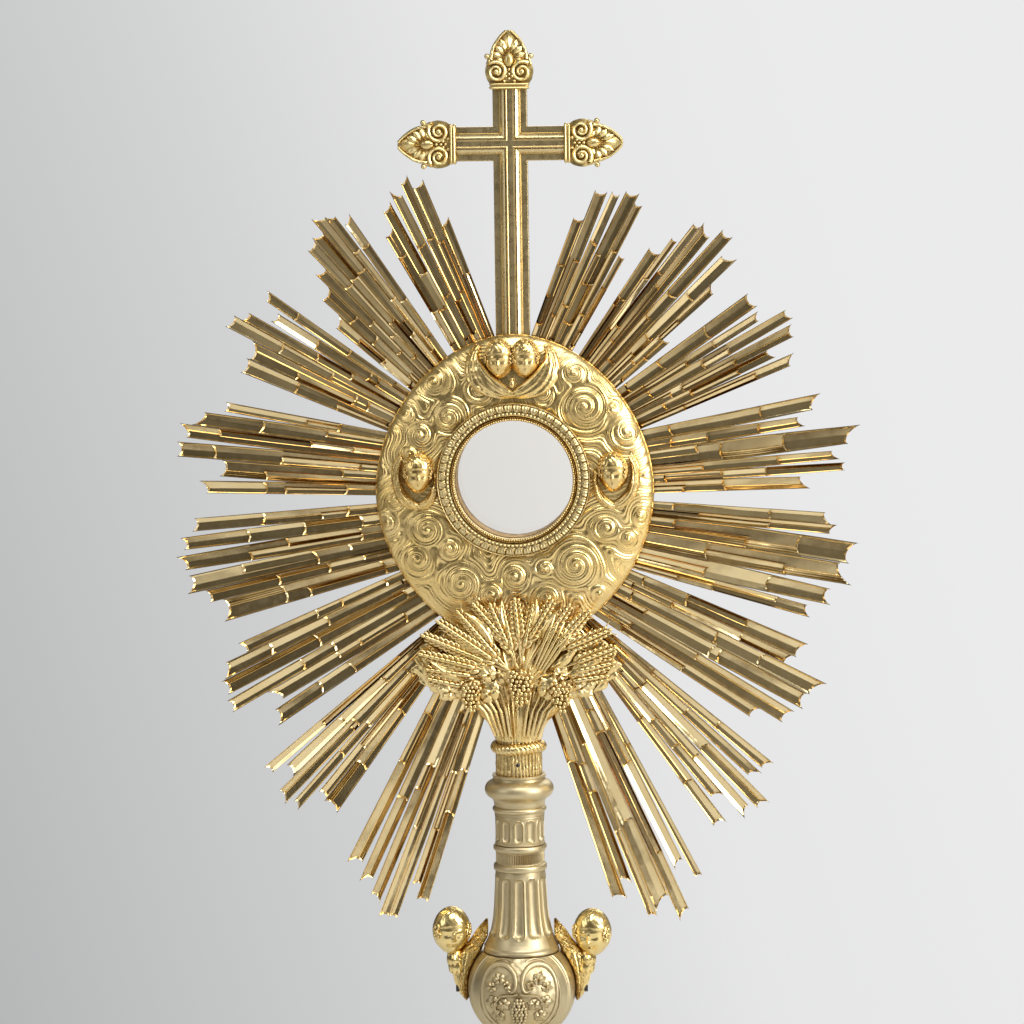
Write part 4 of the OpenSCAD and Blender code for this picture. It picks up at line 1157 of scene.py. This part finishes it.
rope_ring("rope_binding", "rope_tie")
binding_screw = Shape()
binding_screw.ball((0, -13.6, 344.2), 1.3, 5, 12, (1, 0.5, 1))
binding_screw.build("binding_screw", "stand", "dark_screws", STEEL, sharp=40)

# ------------------------------------------------------------------ knop and its hearts


def knop_relief(a, z):
    """Two rings and a groove round each shield; off is the angle from the middle of the shield."""
    level = np.clip((z - KNOP["z"]) / KNOP["r"], -1, 1)
    off = np.degrees(np.arccos(np.clip(np.sqrt(1 - level ** 2) * np.abs(np.cos(a)), 0, 1)))
    return 0.55 * bump(off - 65.5, 1.3) + 0.4 * bump(off - 61.5, 1.0) - 0.25 * bump(off - 63.4, 0.9)


KNOP_FLAT = 43.6
knop_profile = arc(0, KNOP["z"], KNOP["r"], -KNOP_FLAT, KNOP_FLAT, 60)
knop_bore = arc(-3.2, KNOP["z"], KNOP["r"], -KNOP_FLAT, KNOP_FLAT, 30)
turned("knop_ball", knop_profile, knop_bore, "knop", knop_relief, turns=540, step=0.7)

# Right half of the shield from the top notch to the point: (x, z) about the knop's middle
HEART_EDGE = [(0, 14.0), (1.5, 18.8), (4.6, 21.6), (9.0, 22.7), (14.2, 21.2), (18.9, 17.2), (22.4, 10.8),
              (24.2, 3.0), (23.9, -5.5), (21.0, -12.5), (15.8, -17.8), (9.2, -21.0), (3.0, -22.0), (0, -22.1)]
# One lobe's rolled edge from its curl, over the lobe and down to the point: (x, z, radius)
HEART_ROLL = [(6.6, 5.6, 0.7), (5.2, 3.8, 0.85), (3.3, 4.1, 1.0), (2.0, 6.8, 1.15), (1.8, 10.6, 1.3),
              (2.9, 15.0, 1.6), (6.2, 18.6, 1.9), (11.0, 19.8, 2.1), (16.2, 17.9, 1.9), (20.3, 12.9, 1.6),
              (22.3, 5.5, 1.35), (22.0, -2.5, 1.2), (19.8, -9.5, 1.1), (15.6, -15.0, 1.0), (9.0, -18.9, 0.9),
              (1.4, -20.3, 0.8)]
# Vine leaves on one half: (x, z, size, lean)
HEART_LEAVES = [(11.6, 10.6, 5.6, 20), (7.6, 8.0, 4.0, -70), (15.6, 6.8, 4.8, 105), (9.4, -2.4, 5.4, -140),
                (14.8, -2.0, 5.6, 95), (12.0, -9.6, 5.8, 150)]
HEART_STALK = [(0.6, 3), (3.2, 2.4), (7.0, 2.4), (11, 1.6), (14.5, -3), (14, -9), (9.5, -13)]


def on_knop(x, z, lift):
    """Points over the front of the ball; x and z are about its middle."""
    x, z, lift = np.broadcast_arrays(*(np.asarray(q, float) for q in (x, z, lift)))
    r = KNOP["r"] + lift
    y = np.sqrt(np.clip(r ** 2 - x ** 2 - z ** 2, 1, None))
    return np.stack([x, -y, KNOP["z"] + z], -1)


def heart(name, node, front):
    """A heart-shaped shield bent to the ball, with vine leaves and a bunch of grapes. front is 1 or -1."""
    lengths = np.hypot(*np.diff(np.array(HEART_EDGE), axis=0).T)
    knots = np.concatenate([[0], np.cumsum(lengths)]) / lengths.sum()
    hx, hz = eased(HEART_EDGE, 81, 3, knots)
    rx, rz, thick = eased(HEART_ROLL, 110, 10)
    shape = Shape()
    s = np.linspace(-1, 1, 61)[None]
    x, z = hx[:, None] * s * 0.985, hz[:, None] + 0 * s
    field = 0.55 + 0.18 * np.sin(x * 0.9 + 1.5 * np.sin(z * 0.7)) * np.sin(z * 0.8 + np.sin(x * 0.6))
    shape.slab(on_knop(x, z, field)[2:-1], on_knop(x, z, -1.2)[2:-1])
    for side in (-1, 1):
        shape.tube(on_knop(side * hx[8:80] * 0.99, hz[8:80] - 0.2, 0.4), 0.7, 8)
        shape.tube(on_knop(side * rx, rz, 0.3), thick, 12)
        for lx, lz, size, lean in HEART_LEAVES:
            at = on_knop(side * lx, lz, 0.9)
            face = unit(at - [0, 0, KNOP["z"]])
            for turn, reach in ((0, 1.0), (-52, 0.86), (52, 0.86), (-110, 0.6), (110, 0.6)):
                b = rad(lean + turn)
                tip = on_knop(side * (lx + size * reach * np.sin(b)), lz + size * reach * np.cos(b), 1.0)
                blade(shape, at, tip, size * 0.72, "leaf", face, 0.9, 0.5, 0.45, 3, thick=0.9, n=9, m=7)
        stalk_x, stalk_z = np.array(HEART_STALK).T
        shape.tube(on_knop(side * stalk_x, stalk_z, 1.3), 0.7, 6)
    for i in range(11):
        depth = -0.2 - 1.8 * i
        w = 5.0 * np.sin(np.pi * (0.13 + 0.082 * i)) ** 0.9
        count = max(1, int(w * 2 / 2.1) + i % 2)
        for k in range(count):
            u = -1 + 2 * (k + 0.5) / count
            shape.ball(on_knop(u * w, depth, 1.3 + 0.9 * (1 - u * u)), 1.2, 6, 9)
    if front < 0:
        shape.verts = [v * np.array([-1, -1, 1]) for v in shape.verts]
    shape.build(name, "stand", "satin_gilt", STEM_GOLD, [node], sharp=50)


heart("heart_shield_front", "heart_front", 1)
heart("heart_shield_back", "heart_back", -1)

# ------------------------------------------------------------------ cherubs beside the knop


# Edges of a cherub's wing from its top to its foot: (distance from the middle of the stem, z)
WING_INNER = [(19.9, 248.8), (19.8, 243), (20.1, 238), (22.7, 233.2), (23.9, 229.6), (28.0, 223.8),
              (31.5, 215.5), (32.6, 207.5), (32.0, 200.5)]
WING_OUTER = [(20.8, 249.2), (26.4, 242.8), (30.6, 236.5), (35.5, 231.0), (40.8, 225.5), (42.2, 217),
              (40.0, 208.5), (37.0, 202.5), (33.6, 198.6)]


def cherub_wing(shape, sign):
    """A long feathered band on both faces: feathers point up and down away from the neck."""
    t = np.linspace(0, len(WING_INNER) - 1, 150)
    knots = np.arange(len(WING_INNER))
    ease = np.hanning(17) / np.hanning(17).sum()

    def edge(points):
        line = np.stack([np.interp(t, knots, np.array(points)[:, k]) for k in (0, 1)], -1)
        ends = np.concatenate([np.repeat(line[:1], 8, 0), line, np.repeat(line[-1:], 8, 0)])
        return np.stack([np.convolve(ends[:, k], ease, "valid") for k in (0, 1)], -1)

    inner, outer = edge(WING_INNER), edge(WING_OUTER)
    s = np.linspace(0, 1, 46)
    flat = inner[:, None] + (outer - inner)[:, None] * s[None, :, None]
    middle = (inner + outer) / 2
    run = np.concatenate([[0], np.cumsum(np.hypot(*np.diff(middle, axis=0).T))])
    away = np.abs(run - run[70])[:, None]
    lanes = 3.0 * s[None] + 0.35 * np.sin(away / 9)
    lane = np.floor(lanes)
    c = np.abs(lanes - lane - 0.5) * 2
    row = away / 5.2 + 0.5 * (lane % 2) - 0.34 * (1 - c ** 2)
    step = row - np.floor(row)
    barbs = 0.14 * np.cos(TAU * (3.2 * row + 1.6 * c))
    feathers = 0.95 * step * (1 - 0.5 * c ** 2) + 0.4 * np.exp(-(c / 0.16) ** 2) + barbs
    body = (0.6 + 3.3 * smooth(0, 0.5, t / t[-1]) * (1 - 0.45 * smooth(0.65, 1, t / t[-1])))[:, None]
    across = np.sin(np.pi * np.clip(s, 0.02, 0.98))[None]
    thick = 0.35 + body * across ** 0.6 + feathers * across ** 0.3
    front = np.stack([sign * flat[..., 0], -thick, flat[..., 1]], -1)
    shape.slab(front, front * [1, -1, 1])


def cherub(sign, node):
    """A child's head that looks down, on one long wing that lies along the bell and the ball."""
    shape = Shape()

    def at(x, y, z):
        return np.array([sign * x, y, z])

    middle = at(43.0, -1.9, 240.6) if sign > 0 else at(41.8, -1.9, 242.0)
    head(shape, middle, 12.6, (-sign * 0.2, -1, -0.14), 22, 7, 84, 112, 0.80, 1.13, 0.35)
    cherub_wing(shape, sign)
    breast = [at(41.4, -0.6, 231.5), at(40.4, -0.4, 227.5), at(38.6, -0.2, 223), at(37.4, 0, 218),
              at(36.8, 0, 212)]
    shape.tube(breast, [3.6, 4.6, 4.5, 3.8, 2.2], 18, 1.05)
    for low in (0, 1):
        for i in range(7):
            swing = rad(-112 + 224 * i / 6 + 16 * low)
            root = at(40.4 - 0.8 * low + 2.8 * np.sin(swing), -3.2 * np.cos(swing) - 0.8, 230 - 3.6 * low)
            tip = at(39.6 - 1.0 * low + 5.0 * np.sin(swing), -5.4 * np.cos(swing) - 0.6, 221.0 - 4.8 * low)
            face = at(np.sin(swing), -np.cos(swing), 0.3)
            blade(shape, root, tip, 3.6, "feather", face, 0.9, 0.4, 0.4, 4, thick=0.9, n=11, m=7)
    shape.build(f"cherub_figure_{node[7:]}", "stand", "bright_castings", CAST_GOLD, [node], sharp=55)


cherub(-1, "cherub_left")
cherub(1, "cherub_right")

# ------------------------------------------------------------------ lower stem and foot

low_flutes = flutes(124.5, 164.0, 5.4, 1.5, 0.25, 14.8)
LOWER_PROFILE = ([(19, 110.05), (19.2, 111), (19, 114)] + arc(15.5, 117, 3, -20, 90, 12)
                 + [(14.4, 121), (13.9, 130), (14.4, 150), (15.8, 164)] + arc(31, 163, 15, 178, 128, 20)
                 + [(22.3, 180.5), (22.6, 181.2), (22.5, 183.5), (20, 184.4)])
FOOT_PROFILE = ([(90, 12)] + arc(88, 12, 8, 0, 90, 14)[1:] + [(85, 20), (85, 23)]
                + arc(84, 41, 18, -90, -180, 30) + arc(64, 43.5, 2.5, -90, 90, 12)
                + arc(30, 42, 32, 7, 84, 44) + arc(45, 100, 26, 240, 180, 24)
                + arc(19, 104, 4, -90, 90, 14) + [(17, 108), (17, 109.9)])
FOOT_BORE = [(88.2, 12), (82, 20), (80, 25), (64, 38), (60, 46), (57, 52), (50, 60), (30, 69), (20, 80),
             (14, 97), (ROD_BORE, 98), (ROD_BORE, 110)]
RING_PROFILE = ([(98.0, 0.02), (100.6, 0.6)] + arc(98, 6, 5.7, -62, 62, 16)
                + [(100.6, 11.4), (98, 11.7), (92, 11.9)])


def foot_relief(a, z):
    """From below: a string of beads, a wreath of leaves in the hollow and petals on the swell."""
    bead_row = 0.45 * (0.5 + 0.5 * np.cos(96 * a)) * bump(z - 21.5, 0.9)
    wreath = 0.55 * (0.5 + 0.5 * np.cos(32 * a)) ** 0.5 * smooth(27, 30, z) * smooth(40.5, 37, z)
    petals = 0.55 * smooth(45.5, 48, z) * smooth(68, 60, z) * (0.5 + 0.5 * np.cos(24 * a)) ** 0.6
    return petals + bead_row + wreath


def ring_relief(a, z):
    """A slanted rope pattern round the foot's ring."""
    return 0.35 * (0.5 + 0.5 * np.cos(60 * a + 0.9 * z)) * smooth(1.5, 3.5, z) * smooth(11, 9, z)


turned("baluster", LOWER_PROFILE, ROD_BORE, "lower_stem", low_flutes, turns=288)
turned("foot_bell", FOOT_PROFILE, FOOT_BORE, "foot_dome", foot_relief, turns=480, step=1.45,
       slot="gilt_brass")
turned("foot_rope_ring", RING_PROFILE, 88, "foot_ring", ring_relief, turns=600, step=0.9,
       slot="gilt_brass")

# ------------------------------------------------------------------ pieces carried over from the frame

CARRIED = {
    "foot_cover": STEM_GOLD, "tie_rod": STEEL, "tie_nut": STEEL, "cherub_screws": STEEL,
    "catch_screws": STEEL, "lid_pin": STEEL, "chamber_tube": TUBE_GOLD, "luna_case": TUBE_GOLD,
    "luna_lid": TUBE_GOLD, "back_plate": PLATE_GOLD, "back_nuts": STEM_GOLD, "catch_upper": CAST_GOLD,
    "catch_lower": CAST_GOLD, "luna_glass_front": GLASS, "luna_glass_rear": GLASS,
}
for node_name, finish in CARRIED.items():
    part = NODES[node_name]
    part.data.materials.clear()
    part.data.materials.append(finish)
    weld = part.modifiers.new("weld", "WELD")
    weld.merge_threshold = 0.00001
    soften = part.modifiers.new("soften", "BEVEL")
    soften.width = 0.0002
    soften.segments = 2
    soften.limit_method = "ANGLE"
    soften.angle_limit = rad(40)

# ------------------------------------------------------------------ stage, light and camera

bpy.ops.mesh.primitive_plane_add(size=2.0, location=(0, -0.55, -0.0005))
floor = bpy.context.object
floor.name = "floor"
paper = Nodes("pale_paper")
paper.link(paper.ramp(paper.noise(6), [(0.3, (0.80, 0.795, 0.785)), (0.7, (0.84, 0.835, 0.825))]),
           paper.bsdf.inputs["Base Color"])
paper.bsdf.inputs["Roughness"].default_value = 0.9
floor.data.materials.append(paper.material)


def soft_box(name, where, size, power):
    """A rectangular lamp that faces the middle of the object and isn't seen itself."""
    data = bpy.data.lights.new(name, "AREA")
    data.shape = "RECTANGLE"
    data.size, data.size_y = size
    data.energy = power
    lamp = bpy.data.objects.new(name, data)
    bpy.context.scene.collection.objects.link(lamp)
    lamp.location = where
    lamp.rotation_euler = (LIT_POINT - Vector(where)).to_track_quat("-Z", "Y").to_euler()
    lamp.visible_camera = False


LIT_POINT = Vector((0, 0, 0.48))
soft_box("left_box", (-1.6, -1.2, 1.1), (0.7, 1.5), 6)
soft_box("right_box", (1.6, -1.1, 1.0), (0.7, 1.4), 30)
soft_box("top_box", (0.3, -1.25, 2.2), (1.6, 0.8), 22)
soft_box("back_box", (0.4, 1.8, 1.5), (1.6, 1.0), 10)


def studio_world():
    """A dim brown room to reflect, and a pale grey backdrop where it is seen directly or through glass; the
    backdrop has painted shade, darker towards the left and the bottom.
    """
    world = bpy.data.worlds.new("studio")
    bpy.context.scene.world = world
    world.use_nodes = True
    tree = world.node_tree
    tree.nodes.clear()
    new, link = tree.nodes.new, tree.links.new
    direction = new("ShaderNodeSeparateXYZ")
    link(new("ShaderNodeTexCoord").outputs["Generated"], direction.inputs[0])

    def ramp(value, lo, hi, stops):
        """A colour for each value; stops is a list of (share of the way from lo to hi, colour)."""
        scale = new("ShaderNodeMapRange")
        scale.inputs["From Min"].default_value = lo
        scale.inputs["From Max"].default_value = hi
        link(value, scale.inputs["Value"])
        node = new("ShaderNodeValToRGB")
        while len(node.color_ramp.elements) < len(stops):
            node.color_ramp.elements.new(0.5)
        for element, (at, colour) in zip(node.color_ramp.elements, stops):
            element.position = at
            element.color = (*colour, 1)
        link(scale.outputs[0], node.inputs["Fac"])
        return node.outputs["Color"]

    room = ramp(direction.outputs["Z"], -1, 1, [
        (0.0, (0.55, 0.54, 0.52)), (0.34, (0.58, 0.56, 0.53)), (0.385, (0.46, 0.44, 0.41)),
        (0.42, (0.19, 0.175, 0.155)), (0.49, (0.135, 0.125, 0.11)), (0.60, (0.17, 0.16, 0.14)),
        (0.74, (0.25, 0.245, 0.23)), (1.0, (0.27, 0.265, 0.25))])
    sideways = ramp(direction.outputs["X"], -1, 1, [
        (0.0, (0.95, 0.95, 0.95)), (0.42, (0.6, 0.59, 0.58)), (0.50, (1.05, 1.04, 1.02)),
        (0.62, (1.65, 1.64, 1.62)), (1.0, (2.3, 2.28, 2.25))])
    shaded = new("ShaderNodeMix")
    shaded.data_type, shaded.blend_type = "RGBA", "MULTIPLY"
    shaded.inputs[0].default_value = 1.0
    link(room, shaded.inputs[6])
    link(sideways, shaded.inputs[7])
    # Painted shade on the backdrop: it grows darker towards the left and the bottom.
    slant = new("ShaderNodeMath")
    slant.operation = "MULTIPLY_ADD"
    slant.inputs[1].default_value = 0.33
    link(direction.outputs["Z"], slant.inputs[0])
    link(direction.outputs["X"], slant.inputs[2])
    backdrop = ramp(slant.outputs[0], -0.29, 0.03, [
        (0.0, (0.46, 0.463, 0.467)), (0.44, (0.65, 0.652, 0.655)), (0.69, (0.79, 0.79, 0.795)),
        (1.0, (0.83, 0.83, 0.835))])
    path = new("ShaderNodeLightPath")
    either = new("ShaderNodeMath")
    either.operation = "MAXIMUM"
    link(path.outputs["Is Camera Ray"], either.inputs[0])
    link(path.outputs["Is Transmission Ray"], either.inputs[1])
    through = new("ShaderNodeMix")
    through.data_type, through.blend_type = "RGBA", "MULTIPLY"
    through.inputs[7].default_value = (1.09, 1.03, 0.985, 1)
    link(path.outputs["Is Transmission Ray"], through.inputs[0])
    link(backdrop, through.inputs[6])
    mix = new("ShaderNodeMix")
    mix.data_type = "RGBA"
    link(either.outputs[0], mix.inputs[0])
    link(shaded.outputs[2], mix.inputs[6])
    link(through.outputs[2], mix.inputs[7])
    shade = new("ShaderNodeBackground")
    link(mix.outputs[2], shade.inputs["Color"])
    link(shade.outputs[0], new("ShaderNodeOutputWorld").inputs["Surface"])


studio_world()


def main_camera():
    """A camera above and to the right, nearly square on, with a slightly shifted lens.

    field is the width of the view where the object stands, and centre the point in its middle."""
    field = 0.6090
    place = Vector((0.125, -2.065, 0.705))
    centre = Vector((-0.0013, 0, 0.4944))
    shift = Vector((-0.06, 0, -0.08))
    aim = centre - shift * field
    data = bpy.data.cameras.new("camera")
    data.sensor_width = 36
    data.lens = 36 * (aim - place).length / field
    data.shift_x, data.shift_y = shift.x, shift.z
    camera = bpy.data.objects.new("camera", data)
    bpy.context.scene.collection.objects.link(camera)
    camera.location = place
    look = (aim - place).to_track_quat("-Z", "Y").to_matrix()
    camera.rotation_euler = (look @ Matrix.Rotation(rad(-0.72), 3, "Z")).to_euler()
    bpy.context.scene.camera = camera


main_camera()
bpy.context.scene.view_settings.view_transform = "Standard"
